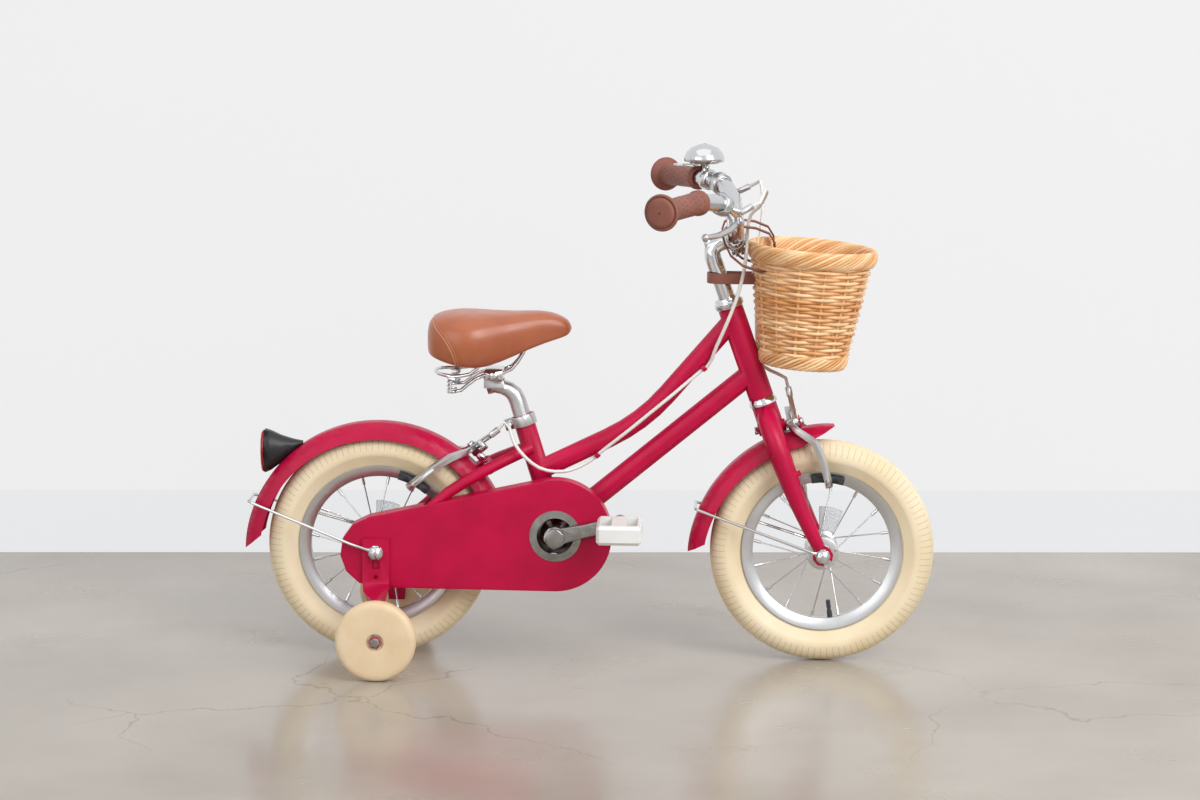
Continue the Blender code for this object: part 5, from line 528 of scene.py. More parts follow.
shadeAngles = {"basket_strap_left": 70, "basket_strap_right": 70, "basket_strap_lower": 70,
               "frame": 42, "fork": 42, "chain_case": 24, "chain": 30, "crank_right": 30,
               "freewheel": 20, "rear_brake_cable": 75, "front_brake_cable": 75,
               "bell": 40, "pedal_right": 25, "pedal_left": 25, "saddle_frame": 65,
               "brake_lever_right": 65, "brake_lever_left": 65}


def merged(node):
    bm = bmesh.new()
    bm.from_mesh(frame["nodes"][node].data)
    bmesh.ops.remove_doubles(bm, verts=bm.verts, dist=2e-6)
    bmesh.ops.dissolve_degenerate(bm, dist=1e-7, edges=bm.edges)
    return bm


# Arcs that the solids hold as facets: centre x and z, and the span of radii they lie in
trueArcs = {"rear_mudguard": [(-0.0016, 0.1369, 0.150, 0.186)],
            "front_mudguard": [(0.6065, 0.1261, 0.164, 0.200)],
            "chain_case": [(*wheelCentres["rear"], 0.044, 0.0485),
                           (*crankCentre, 0.0715, 0.0755), (*crankCentre, 0.0300, 0.0345)],
            "chain_case_ring": [(*crankCentre, 0.0230, 0.0360)]}


def roundOff(bm, x, z, low, high):
    # Cuts each facet edge in four and moves the new points out to the true arc
    reach = bm.verts.layers.float.new("reach")
    for v in bm.verts:
        v[reach] = Vector((v.co.x - x, v.co.z - z)).length
    picked = []
    for edge in bm.edges:
        a, b = (Vector((v.co.x - x, v.co.z - z)) for v in edge.verts)
        if low < a.length < high and low < b.length < high:
            if radians(1.5) < a.angle(b) < radians(24):
                picked.append(edge)
    old = set(bm.verts)
    bmesh.ops.subdivide_edges(bm, edges=picked, cuts=3)
    for v in bm.verts:
        if v not in old:
            flat = Vector((v.co.x - x, 0, v.co.z - z))
            v.co += flat.normalized() * (v[reach] - flat.length)
    bm.verts.layers.float.remove(reach)


def dress(node, material):
    bm = merged(node)
    for arc in trueArcs.get(node, ()):
        roundOff(bm, *arc)
    mesh = bpy.data.meshes.new("dressed." + node)
    bm.to_mesh(mesh)
    bm.free()
    mesh.materials.append(material)
    if node in padHolders:
        rubberPads(mesh, padHolders[node])
    softShading(mesh, shadeAngles.get(node, 40))
    obj = bpy.data.objects.new("dressed." + node, mesh)
    scene.collection.objects.link(obj)
    even = obj.modifiers.new("evenShading", "WEIGHTED_NORMAL")  # flat faces stay flat
    even.keep_sharp = True
    applied(obj)
    ridesFor(obj, node)


# The brake pad's rubber is the part of the arm that faces the rim
def rubberPads(mesh, centre):
    mesh.materials.append(darkRubber)
    for face in mesh.polygons:
        spot = face.center
        reach = Vector((spot.x - centre[0], spot.z - centre[1])).length
        if 0.0960 < reach < 0.1072 and abs(spot.y) < 0.0236:
            face.material_index = 1


# The rear cable bends with the bar: it follows the frame below start, the steering above end
bends = {"rear_brake_cable": ("frame", "steering", (0.452, -0.020, 0.430),
                              (0.486, -0.031, 0.575))}


def ridesFor(obj, node):
    if node in bends:
        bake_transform(obj, *bends[node])
    else:
        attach(obj, bodyOf[node])
    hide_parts(node)


for material, nodes in finishes.items():
    for node in nodes:
        dress(node, material)
print("stage: rigid pieces dressed")


# Wheels: turned tyre and rim, laced spokes with nipples, valve
wheelValues = {"spokes": 16, "phase": -7.5, "slant": 20.0, "spokeCircle": 0.0185,
               "rimInner": 0.0925, "rimOuter": 0.1077, "rimWidth": 0.024, "spokeRadius": 0.0009,
               "nippleRadius": 0.0021, "nippleLength": 0.011, "tyreOuter": 0.150,
               "tyreWidth": 0.0436, "frontValve": -82, "rearValve": -22, "frontFlange": 0.026,
               "rearFlange": 0.025}


def spokeTree():
    # Crossed spokes; From and To pick a stretch of each, as for the nipples.
    tree, given = nodeTree("lacedSpokes", [
        ("Count", "NodeSocketInt", 16), ("Phase", "NodeSocketFloat", 0.0),
        ("Slant", "NodeSocketFloat", 0.35), ("Hub Radius", "NodeSocketFloat", 0.02),
        ("Rim Radius", "NodeSocketFloat", 0.09), ("Flange", "NodeSocketFloat", 0.025),
        ("From", "NodeSocketFloat", 0.0), ("To", "NodeSocketFloat", 1.0),
        ("Radius", "NodeSocketFloat", 0.001), ("Centre", "NodeSocketVector", (0, 0, 0)),
        ("Sides", "NodeSocketInt", 8), ("Material", "NodeSocketMaterial", None)])
    wire = addNode(tree, "GeometryNodeCurvePrimitiveLine", {"Start": (0, 0, 0), "End": (0, 0, 1)})
    real, k = copies(tree, wire, given["Count"], "spoke")
    along = addNode(tree, "GeometryNodeSplineParameter").outputs["Factor"]
    share = addNode(tree, "ShaderNodeMapRange", {"Value": along, "To Min": given["From"],
                                                 "To Max": given["To"]}).outputs[0]
    step = addNode(tree, "ShaderNodeMath", {0: 2 * pi, 1: given["Count"]}, operation="DIVIDE")
    angle = addNode(tree, "ShaderNodeMath", {0: k, 1: step.outputs[0], 2: given["Phase"]},
                    operation="MULTIPLY_ADD").outputs[0]
    odd = addNode(tree, "ShaderNodeMath", {0: k, 1: 2.0}, operation="MODULO").outputs[0]
    hand = addNode(tree, "ShaderNodeMath", {0: odd, 1: 2.0, 2: -1.0},
                   operation="MULTIPLY_ADD").outputs[0]
    four = addNode(tree, "ShaderNodeMath", {0: k, 1: 4.0}, operation="MODULO").outputs[0]
    low = addNode(tree, "ShaderNodeMath", {0: four, 1: 1.5}, operation="LESS_THAN").outputs[0]
    way = addNode(tree, "ShaderNodeMath", {0: low, 1: 2.0, 2: -1.0},
                  operation="MULTIPLY_ADD").outputs[0]
    lean = addNode(tree, "ShaderNodeMath", {0: way, 1: given["Slant"], 2: angle},
                   operation="MULTIPLY_ADD").outputs[0]

    def ring(turn, radius, y):
        c = addNode(tree, "ShaderNodeMath", {0: turn}, operation="COSINE").outputs[0]
        s = addNode(tree, "ShaderNodeMath", {0: turn}, operation="SINE").outputs[0]
        x = addNode(tree, "ShaderNodeMath", {0: c, 1: radius}, operation="MULTIPLY").outputs[0]
        z = addNode(tree, "ShaderNodeMath", {0: s, 1: radius}, operation="MULTIPLY").outputs[0]
        return addNode(tree, "ShaderNodeCombineXYZ", {0: x, 1: y, 2: z}).outputs[0]

    nearY = addNode(tree, "ShaderNodeMath", {0: hand, 1: given["Flange"]}, operation="MULTIPLY")
    farY = addNode(tree, "ShaderNodeMath", {0: hand, 1: 0.0025}, operation="MULTIPLY")
    spot = addNode(tree, "ShaderNodeMix", {0: share,
                                           4: ring(lean, given["Hub Radius"], nearY.outputs[0]),
                                           5: ring(angle, given["Rim Radius"], farY.outputs[0])},
                   data_type="VECTOR").outputs[1]
    there = addNode(tree, "ShaderNodeVectorMath", {0: spot, 1: given["Centre"]}, operation="ADD")
    moved = addNode(tree, "GeometryNodeSetPosition", {"Geometry": real,
                                                      "Position": there.outputs[0]})
    section = addNode(tree, "GeometryNodeCurvePrimitiveCircle", {
        "Resolution": given["Sides"], "Radius": given["Radius"]})
    skin = addNode(tree, "GeometryNodeCurveToMesh", {"Curve": moved.outputs[0],
                                                     "Profile Curve": section.outputs[0],
                                                     "Fill Caps": True})
    closeTree(tree, skin.outputs[0], given["Material"])
    return tree


lacing = spokeTree()


def buildWheel(side, centre, valveAngle, flangeY, v):
    where = Vector((centre[0], 0.0, centre[1]))
    halfW, mid = v["tyreWidth"] / 2, (v["tyreOuter"] + v["rimOuter"]) / 2
    bulge = (v["tyreOuter"] - v["rimOuter"]) / 2
    profile = [(v["rimOuter"] + 0.0006, -0.0085)]
    for i in range(25):
        a = radians(-112 + 224 * i / 24)
        profile.append((mid + bulge * cos(a) * (1.0 if abs(a) < 1.6 else 0.92),
                        halfW * sin(a) * 0.998))
    profile = [(min(r, v["tyreOuter"]), y) for r, y in profile]
    profile += [(v["rimOuter"] + 0.0006, 0.0085), (v["rimOuter"] - 0.0030, 0.0075),
                (v["rimOuter"] - 0.0030, -0.0075), (v["rimOuter"] + 0.0006, -0.0085)]
    tyre = lathe(side + "TyreCasing", profile, where, (0, 1, 0),
                 creamTyre(side + "NaturalRubber", centre, tyreLook), 112)
    valveStart = where + Vector((cos(valveAngle), 0, sin(valveAngle))) * (v["rimInner"] + 0.002)
    inward = Vector((-cos(valveAngle), 0, -sin(valveAngle)))
    valve = lathe(side + "Valve", [(0.0, 0.0), (0.0036, 0.0), (0.0034, 0.010), (0.0024, 0.012),
                                   (0.0024, 0.0135), (0.0030, 0.0142), (0.0030, 0.0235),
                                   (0.0022, 0.0250), (0.0, 0.0250)],
                  valveStart, inward, darkRubber, 20)
    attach(valve, side + "_wheel")
    ridesFor(tyre, side + "_tyre")
    half = v["rimWidth"] / 2
    rimProfile = [(v["rimOuter"], half), (v["rimOuter"] - 0.0010, half),
                  (v["rimInner"] + 0.0062, half * 0.80), (v["rimInner"] + 0.0006, half * 0.55),
                  (v["rimInner"], half * 0.30), (v["rimInner"], -half * 0.30),
                  (v["rimInner"] + 0.0006, -half * 0.55),
                  (v["rimInner"] + 0.0062, -half * 0.80), (v["rimOuter"] - 0.0010, -half),
                  (v["rimOuter"], -half), (v["rimOuter"], 0.0015 - half),
                  (v["rimOuter"] - 0.0048, 0.0015 - half),
                  (v["rimOuter"] - 0.0048, half - 0.0015), (v["rimOuter"], half - 0.0015),
                  (v["rimOuter"], half)]
    ridesFor(lathe(side + "RimHoop", rimProfile, where, (0, 1, 0), anodised, 112, degrees=30),
             side + "_rim")
    values = {"Count": v["spokes"], "Phase": radians(v["phase"]), "Slant": radians(v["slant"]),
              "Hub Radius": v["spokeCircle"], "Rim Radius": v["rimInner"] + 0.001,
              "Flange": flangeY + 0.0012, "Centre": where, "Sides": 8, "From": 0.0, "To": 1.0}
    spokes = grown(side + "Spokes", lacing, dict(values, Radius=v["spokeRadius"],
                                                 Material=spokeWire))
    short = 1.0 - v["nippleLength"] / (v["rimInner"] - v["spokeCircle"])
    nipples = grown(side + "Nipples", lacing, dict(values, Radius=v["nippleRadius"], From=short,
                                                   Sides=6, Material=chromePlate))
    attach(nipples, side + "_wheel")
    return spokes


def buildHub(side, centre, flangeY, spokes, v):
    lo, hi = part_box(side + "_hub")
    where = Vector((centre[0], 0.0, centre[1]))
    outer = flangeY + 0.0025
    profile = [(0.0052, hi.y), (0.0118, hi.y), (0.0125, hi.y - 0.0008), (0.0125, outer + 0.0006),
               (0.0205, outer), (0.0220, outer - 0.0006), (0.0220, flangeY + 0.0005),
               (0.0210, flangeY), (0.0165, flangeY - 0.0015), (0.0140, flangeY - 0.006),
               (0.0128, 0.0), (0.0140, 0.006 - flangeY), (0.0165, 0.0015 - flangeY),
               (0.0210, -flangeY), (0.0220, -flangeY - 0.0005), (0.0220, 0.0006 - outer),
               (0.0205, -outer), (0.0125, -outer - 0.0006), (0.0125, lo.y + 0.0008),
               (0.0118, lo.y), (0.0052, lo.y), (0.0052, hi.y)]
    hub = lathe(side + "HubShell", profile, where, (0, 1, 0), anodised, 48, degrees=32)
    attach(hub, side + "_wheel")
    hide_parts(side + "_hub")
    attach(spokes, side + "_wheel")
    heads = []
    for k in range(v["spokes"]):
        hand = 1 if k % 2 else -1
        slant = radians(v["slant"]) * (1 if k % 4 < 2 else -1)
        a = radians(v["phase"]) + 2 * pi * k / v["spokes"] + slant
        spot = where + Vector((cos(a) * v["spokeCircle"], hand * (outer + 0.0001),
                               sin(a) * v["spokeCircle"]))
        heads.append(lathe("head", [(0.0, 0.0), (0.0019, 0.0), (0.0016, 0.0010), (0.0, 0.0014)],
                           spot, (0, hand, 0), chromePlate, 10))
    joined = joinAll(side + "SpokeHeads", heads)
    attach(joined, side + "_wheel")


def joinAll(name, objects):
    bm = bmesh.new()
    for obj in objects:
        bm.from_mesh(obj.data)
    mesh = bpy.data.meshes.new(name)
    bm.to_mesh(mesh)
    bm.free()
    mesh.materials.append(objects[0].data.materials[0])
    softShading(mesh, 40)
    for obj in objects:
        bpy.data.objects.remove(obj)
    out = bpy.data.objects.new(name, mesh)
    scene.collection.objects.link(out)
    return out


for side, centre in wheelCentres.items():
    v = wheelValues
    spokes = buildWheel(side, centre, radians(v[side + "Valve"]), v[side + "Flange"], v)
    buildHub(side, centre, v[side + "Flange"], spokes, v)
print("stage: wheels built")


# Training wheels: moulded discs with a rolled edge, a washer and a bolt head
trainerValues = {"radius": 0.053, "outY": 0.1783, "width": 0.026, "centre": (0.009, 0.053)}


def buildTrainer(side, hand, v):
    where = Vector((v["centre"][0], 0.0, v["centre"][1]))
    r, out, inn = v["radius"], v["outY"], v["outY"] - v["width"]
    profile = [(0.0, out - 0.0042), (0.0105, out - 0.0042), (0.0115, out - 0.0012),
               (0.0150, out - 0.0008), (r - 0.010, out - 0.0008), (r - 0.0045, out - 0.0016),
               (r - 0.0018, out - 0.0036), (r - 0.0004, out - 0.0068), (r, out - 0.0100),
               (r, inn + 0.0100), (r - 0.0004, inn + 0.0068), (r - 0.0018, inn + 0.0036),
               (r - 0.0045, inn + 0.0016), (r - 0.010, inn + 0.0006), (0.0045, inn + 0.0006),
               (0.0045, inn + 0.004), (0.0, inn + 0.004)]
    disc = lathe("training" + side, profile, where, (0, hand, 0), creamPlastic, 96, degrees=50)
    ridesFor(disc, "training_wheel_" + side.lower())
    washer = lathe("trainingWasher" + side, [(0.0, -0.0045), (0.0098, -0.0045),
                                             (0.0098, -0.0032), (0.0066, -0.0030),
                                             (0.0066, 0.0000), (0.0050, 0.0014),
                                             (0.0, 0.0020)],
                   where + Vector((0, hand * out, 0)), (0, hand, 0), zincSteel, 6, degrees=30)
    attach(washer, bodyOf["training_wheel_" + side.lower()])


buildTrainer("Right", -1, trainerValues)
buildTrainer("Left", 1, trainerValues)
print("stage: training wheels built")


# Saddle: foam under leatherette, with a seam down each rear corner
saddleValues = {
    "stations": [(0.0640, 0.0300, 0.4500, 0.4140), (0.0730, 0.0540, 0.4640, 0.4060),
                 (0.1050, 0.0730, 0.4690, 0.3960), (0.1350, 0.0700, 0.4680, 0.3925),
                 (0.1640, 0.0500, 0.4670, 0.4010), (0.1950, 0.0330, 0.4680, 0.4150),
                 (0.2290, 0.0240, 0.4690, 0.4290), (0.2570, 0.0140, 0.4550, 0.4370)],
    "section": [(0.50, 0.01), (0.86, 0.14), (1.00, 0.42), (0.95, 0.80), (0.82, 1.00),
                (0.45, 0.90)],
    "seam": [(0.0720, 0.4580), (0.0790, 0.4480), (0.0900, 0.4360), (0.0985, 0.4220),
             (0.1040, 0.4080), (0.1060, 0.3990)], "stitch": 0.0030}


def buildSaddle(v):
    rings = []
    for x, half, top, low in v["stations"]:
        tall = top - low
        spots = ([(0.0, 0.0)] + v["section"] + [(0.0, 0.86)]
                 + [(-s, d) for s, d in v["section"][::-1]])
        rings.append([(x, s * half, top - d * tall) for s, d in spots])
    count = len(rings[0])
    vertices = [p for ring in rings for p in ring]
    faces = [(i * count + k, i * count + (k + 1) % count, (i + 1) * count + (k + 1) % count,
              (i + 1) * count + k) for i in range(len(rings) - 1) for k in range(count)]
    faces += [tuple(range(count)), tuple(len(vertices) - count + k for k in range(count))[::-1]]
    cover = newObject("saddleCover", vertices, faces, leatherette)
    soften = cover.modifiers.new("soften", "SUBSURF")
    soften.levels = soften.render_levels = 4
    applied(cover)
    softShading(cover.data, 80)
    bm = bmesh.new()
    bm.from_mesh(cover.data)
    skin = BVHTree.FromBMesh(bm)
    bm.free()
    seams, stitches = [], []
    for hand in (-1, 1):
        marks = throughPoints([Vector((x, 0, z)) for x, z in v["seam"]], 44)
        path = []
        for mark in marks:
            hit = skin.ray_cast(Vector((mark.x, hand * 0.12, mark.z)), Vector((0, -hand, 0)))
            if hit[0]:
                path.append(hit[0] - hit[1] * 0.0002)
        seams.append(sweep("seam", path, 0.0012, threadLook, 8))
        for k in range(1, len(path) - 1, 2):
            run = (path[k + 1] - path[k - 1]).normalized()
            offset = Vector((0.0034, 0, 0.0022))
            a = skin.find_nearest(path[k] + offset)[0]
            if a:
                stitches.append(sweep("stitch", [a - run * 0.0013, a + run * 0.0013], 0.0006,
                                      threadLook, 6))
    seam = joinAll("saddleSeams", seams)
    thread = joinAll("saddleStitches", stitches)
    ridesFor(cover, "saddle")
    for extra in (seam, thread):
        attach(extra, "seat")


buildSaddle(saddleValues)
print("stage: saddle built")


# Wicker basket: stakes, randing canes, a rolled border and foot, and a woven floor
basketValues = {"height": 0.163, "floorRadius": 0.0585, "rimX": 0.085, "rimY": 0.095,
                "lean": 4.2, "baseX": 0.0515, "baseZ": 0.0475, "stakes": 14, "rows": 27,
                "canes": 0.0024, "stakeRadius": 0.0022, "wave": 0.0026,
                "footTop": 0.0210, "borderLow": 0.1400, "seed": 4, "inset": -0.0045,
                "stakeLow": 0.004, "stakeTop": 0.155,
                "border": {"From": 0.1505, "Inset": -0.0030, "Strands": 13, "Twists": 5.0,
                           "Roll High": 0.0096, "Roll Wide": 0.0050, "Cane Radius": 0.0023},
                "foot": {"From": 0.0110, "Inset": -0.0052, "Strands": 10, "Twists": 4.0,
                         "Roll High": 0.0086, "Roll Wide": 0.0032, "Cane Radius": 0.0022},
                "floorRings": (0.012, 0.024, 0.036, 0.048), "floorSpokes": 8}
steerHead = Vector((0.51151, 0.0, 0.35136))


def basketPlace(v):
    lean = Matrix.Rotation(radians(v["lean"]), 4, "Y")
    return Matrix.Translation(steerHead + Vector((v["baseX"], 0, v["baseZ"]))) @ lean


def wallSpot(tree, given, theta, height, outset):
    # Place on the tapered oval wall for an angle and a height, moved out by outset.
    share = addNode(tree, "ShaderNodeMath", {0: height, 1: given["Height"]}, operation="DIVIDE")
    sides = []
    for rim, turn in (("Rim X", "COSINE"), ("Rim Y", "SINE")):
        span = addNode(tree, "ShaderNodeMath", {0: given[rim], 1: given["Floor Radius"]},
                       operation="SUBTRACT").outputs[0]
        wide = addNode(tree, "ShaderNodeMath", {0: span, 1: share.outputs[0],
                                                2: given["Floor Radius"]},
                       operation="MULTIPLY_ADD").outputs[0]
        wider = addNode(tree, "ShaderNodeMath", {0: wide, 1: outset}, operation="ADD").outputs[0]
        part = addNode(tree, "ShaderNodeMath", {0: theta}, operation=turn).outputs[0]
        sides.append(addNode(tree, "ShaderNodeMath", {0: wider, 1: part},
                             operation="MULTIPLY").outputs[0])
    return addNode(tree, "ShaderNodeCombineXYZ", {0: sides[0], 1: sides[1],
                                                  2: height}).outputs[0]


wallSockets = [("Height", "NodeSocketFloat", 0.163), ("Floor Radius", "NodeSocketFloat", 0.0585),
               ("Rim X", "NodeSocketFloat", 0.085), ("Rim Y", "NodeSocketFloat", 0.095),
               ("Stakes", "NodeSocketInt", 20), ("Rows", "NodeSocketInt", 24),
               ("From", "NodeSocketFloat", 0.02), ("To", "NodeSocketFloat", 0.14),
               ("Cane Radius", "NodeSocketFloat", 0.0026), ("Wave", "NodeSocketFloat", 0.003),
               ("Inset", "NodeSocketFloat", 0.004), ("Seed", "NodeSocketInt", 4),
               ("Material", "NodeSocketMaterial", None)]


def caneSkin(tree, given, curves, where, tones, number, sides=7, capped=False):
    # Round canes along the curves once moved, each with a tone of its own.
    moved = addNode(tree, "GeometryNodeSetPosition", {"Geometry": curves, "Position": where})
    tone = addNode(tree, "FunctionNodeRandomValue", {2: tones[0], 3: tones[1], "ID": number,
                                                     "Seed": given["Seed"]}, data_type="FLOAT")
    toned = addNode(tree, "GeometryNodeStoreNamedAttribute", {
        "Geometry": moved.outputs[0], "Name": "caneTone", "Value": tone.outputs[1]},
        data_type="FLOAT", domain="POINT")
    section = addNode(tree, "GeometryNodeCurvePrimitiveCircle", {
        "Resolution": sides, "Radius": given["Cane Radius"]})
    skin = addNode(tree, "GeometryNodeCurveToMesh", {
        "Curve": toned.outputs[0], "Profile Curve": section.outputs[0], "Fill Caps": capped})
    closeTree(tree, skin.outputs[0], given["Material"])


def randingTree():
    # Level canes that pass in front of one stake and behind the next, row by row.
    tree, given = nodeTree("randing", wallSockets)
    around = addNode(tree, "ShaderNodeMath", {0: given["Stakes"], 1: 8.0}, operation="MULTIPLY")
    loop = addNode(tree, "GeometryNodeCurvePrimitiveCircle", {"Resolution": around.outputs[0],
                                                              "Radius": 1.0})
    real, row = copies(tree, loop, given["Rows"], "row")
    turn = addNode(tree, "GeometryNodeSplineParameter").outputs["Factor"]
    theta = addNode(tree, "ShaderNodeMath", {0: turn, 1: 2 * pi}, operation="MULTIPLY").outputs[0]
    last = addNode(tree, "ShaderNodeMath", {0: given["Rows"], 1: 1.0}, operation="SUBTRACT")
    share = addNode(tree, "ShaderNodeMath", {0: row, 1: last.outputs[0]},
                    operation="DIVIDE").outputs[0]
    level = addNode(tree, "ShaderNodeMapRange", {"Value": share, "To Min": given["From"],
                                                 "To Max": given["To"]}).outputs[0]
    jitter = addNode(tree, "ShaderNodeTexNoise", {
        "Vector": addNode(tree, "ShaderNodeCombineXYZ", {
            0: addNode(tree, "ShaderNodeMath", {0: theta}, operation="COSINE").outputs[0],
            1: addNode(tree, "ShaderNodeMath", {0: theta}, operation="SINE").outputs[0],
            2: row}).outputs[0], "Scale": 1.7}).outputs["Fac"]
    drift = addNode(tree, "ShaderNodeMapRange", {"Value": jitter, "From Min": 0.25,
                                                 "From Max": 0.75, "To Min": -0.0010,
                                                 "To Max": 0.0010}).outputs[0]
    height = addNode(tree, "ShaderNodeMath", {0: level, 1: drift}, operation="ADD").outputs[0]
    half = addNode(tree, "ShaderNodeMath", {0: given["Stakes"], 1: 0.5}, operation="MULTIPLY")
    phase = addNode(tree, "ShaderNodeMath", {0: row, 1: pi}, operation="MULTIPLY").outputs[0]
    beat = addNode(tree, "ShaderNodeMath", {0: theta, 1: half.outputs[0], 2: phase},
                   operation="MULTIPLY_ADD").outputs[0]
    swing = addNode(tree, "ShaderNodeMath", {0: beat}, operation="COSINE").outputs[0]
    out = addNode(tree, "ShaderNodeMath", {0: swing, 1: given["Wave"], 2: given["Inset"]},
                  operation="MULTIPLY_ADD").outputs[0]
    caneSkin(tree, given, real, wallSpot(tree, given, theta, height, out), (0.0, 1.0), row)
    return tree


def stakeTree():
    # Upright canes in pairs round the wall.
    tree, given = nodeTree("stakes", wallSockets)
    rod = addNode(tree, "GeometryNodeCurvePrimitiveLine", {"Start": (0, 0, 0), "End": (0, 0, 1)})
    finer = addNode(tree, "GeometryNodeResampleCurve", {"Curve": rod.outputs[0], "Count": 5})
    real, k = copies(tree, finer, given["Stakes"], "stake")
    step = addNode(tree, "ShaderNodeMath", {0: 2 * pi, 1: given["Stakes"]}, operation="DIVIDE")
    theta = addNode(tree, "ShaderNodeMath", {0: k, 1: step.outputs[0]},
                    operation="MULTIPLY").outputs[0]
    share = addNode(tree, "GeometryNodeSplineParameter").outputs["Factor"]
    height = addNode(tree, "ShaderNodeMapRange", {"Value": share, "To Min": given["From"],
                                                  "To Max": given["To"]}).outputs[0]
    caneSkin(tree, given, real, wallSpot(tree, given, theta, height, given["Inset"]),
             (0.1, 0.8), k, 8, True)
    return tree


def rolledTree():
    # Canes that wind round the wall's edge like a rope, each on its own slant.
    tree, given = nodeTree("rolledBorder", wallSockets + [
        ("Strands", "NodeSocketInt", 5), ("Twists", "NodeSocketFloat", 9.0),
        ("Roll High", "NodeSocketFloat", 0.010), ("Roll Wide", "NodeSocketFloat", 0.005)])
    around = addNode(tree, "GeometryNodeCurvePrimitiveCircle", {"Resolution": 260,
                                                                "Radius": 1.0})
    real, k = copies(tree, around, given["Strands"], "strand")
    turn = addNode(tree, "GeometryNodeSplineParameter").outputs["Factor"]
    theta = addNode(tree, "ShaderNodeMath", {0: turn, 1: 2 * pi}, operation="MULTIPLY").outputs[0]
    step = addNode(tree, "ShaderNodeMath", {0: 2 * pi, 1: given["Strands"]}, operation="DIVIDE")
    start = addNode(tree, "ShaderNodeMath", {0: k, 1: step.outputs[0]}, operation="MULTIPLY")
    wind = addNode(tree, "ShaderNodeMath", {0: theta, 1: given["Twists"], 2: start.outputs[0]},
                   operation="MULTIPLY_ADD").outputs[0]
    lift = addNode(tree, "ShaderNodeMath", {0: wind}, operation="SINE").outputs[0]
    side = addNode(tree, "ShaderNodeMath", {0: wind}, operation="COSINE").outputs[0]
    height = addNode(tree, "ShaderNodeMath", {0: lift, 1: given["Roll High"], 2: given["From"]},
                     operation="MULTIPLY_ADD").outputs[0]
    out = addNode(tree, "ShaderNodeMath", {0: side, 1: given["Roll Wide"], 2: given["Inset"]},
                  operation="MULTIPLY_ADD").outputs[0]
    caneSkin(tree, given, real, wallSpot(tree, given, theta, height, out), (0.0, 0.9), k)
    return tree


def buildBasket(v):
    common = {"Height": v["height"], "Floor Radius": v["floorRadius"], "Rim X": v["rimX"],
              "Rim Y": v["rimY"], "Stakes": v["stakes"], "Seed": v["seed"],
              "Material": caneLook}
    canes = grown("basketRanding", randingTree(), dict(common, **{
        "Rows": v["rows"], "From": v["footTop"], "To": v["borderLow"], "Inset": v["inset"],
        "Cane Radius": v["canes"], "Wave": v["wave"]}))
    stakes = grown("basketStakes", stakeTree(), dict(common, **{
        "From": v["stakeLow"], "To": v["stakeTop"], "Inset": v["inset"],
        "Cane Radius": v["stakeRadius"]}))
    rolled = rolledTree()
    border = grown("basketBorder", rolled, dict(common, **v["border"]))
    foot = grown("basketFoot", rolled, dict(common, **v["foot"]))
    place = basketPlace(v)
    floorEdge = v["floorRadius"] - 0.004
    floorCanes = []
    for k, r in enumerate((*v["floorRings"], floorEdge)):
        loop = [Vector((r * cos(a), r * sin(a), 0.0062 + 0.0011 * cos(8 * a + k * pi)))
                for a in [2 * pi * i / 96 for i in range(96)]]
        floorCanes.append(sweep("ring", loop, 0.0034, caneLook, 8, True))
    reach = v["floorRadius"] - 0.003
    for k in range(v["floorSpokes"]):
        a = pi * k / v["floorSpokes"]
        floorCanes.append(sweep("spoke", [Vector((-reach * cos(a), -reach * sin(a), 0.006)),
                                          Vector((reach * cos(a), reach * sin(a), 0.006))],
                                0.0024, caneLook, 8))
    plate = lathe("plate", [(0.0, 0.0048), (floorEdge, 0.0048), (floorEdge, 0.0075),
                            (0.0, 0.0075)],
                  (0, 0, 0), (0, 0, 1), caneLook, 44)
    base = joinAll("basketBase", floorCanes + [plate])
    for piece in (canes, stakes, border, foot, base):
        piece.data.transform(place)
        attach(piece, "steering")
    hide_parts("basket")


buildBasket(basketValues)
print("stage: basket woven")


# Grips: moulded rubber with an end disc, a ridge, an inner flange and rows of small holes, drawn as flat
# dark dots of painted shade
gripValues = {"radius": 0.0145, "endRadius": 0.0235, "flangeRadius": 0.0165, "length": 0.1145,
              "bore": 0.0106, "rows": 7, "around": 14, "from": 0.026, "to": 0.100,
              "hole": 0.0009, "run": (-0.43032, 0.90201, -0.03473)}


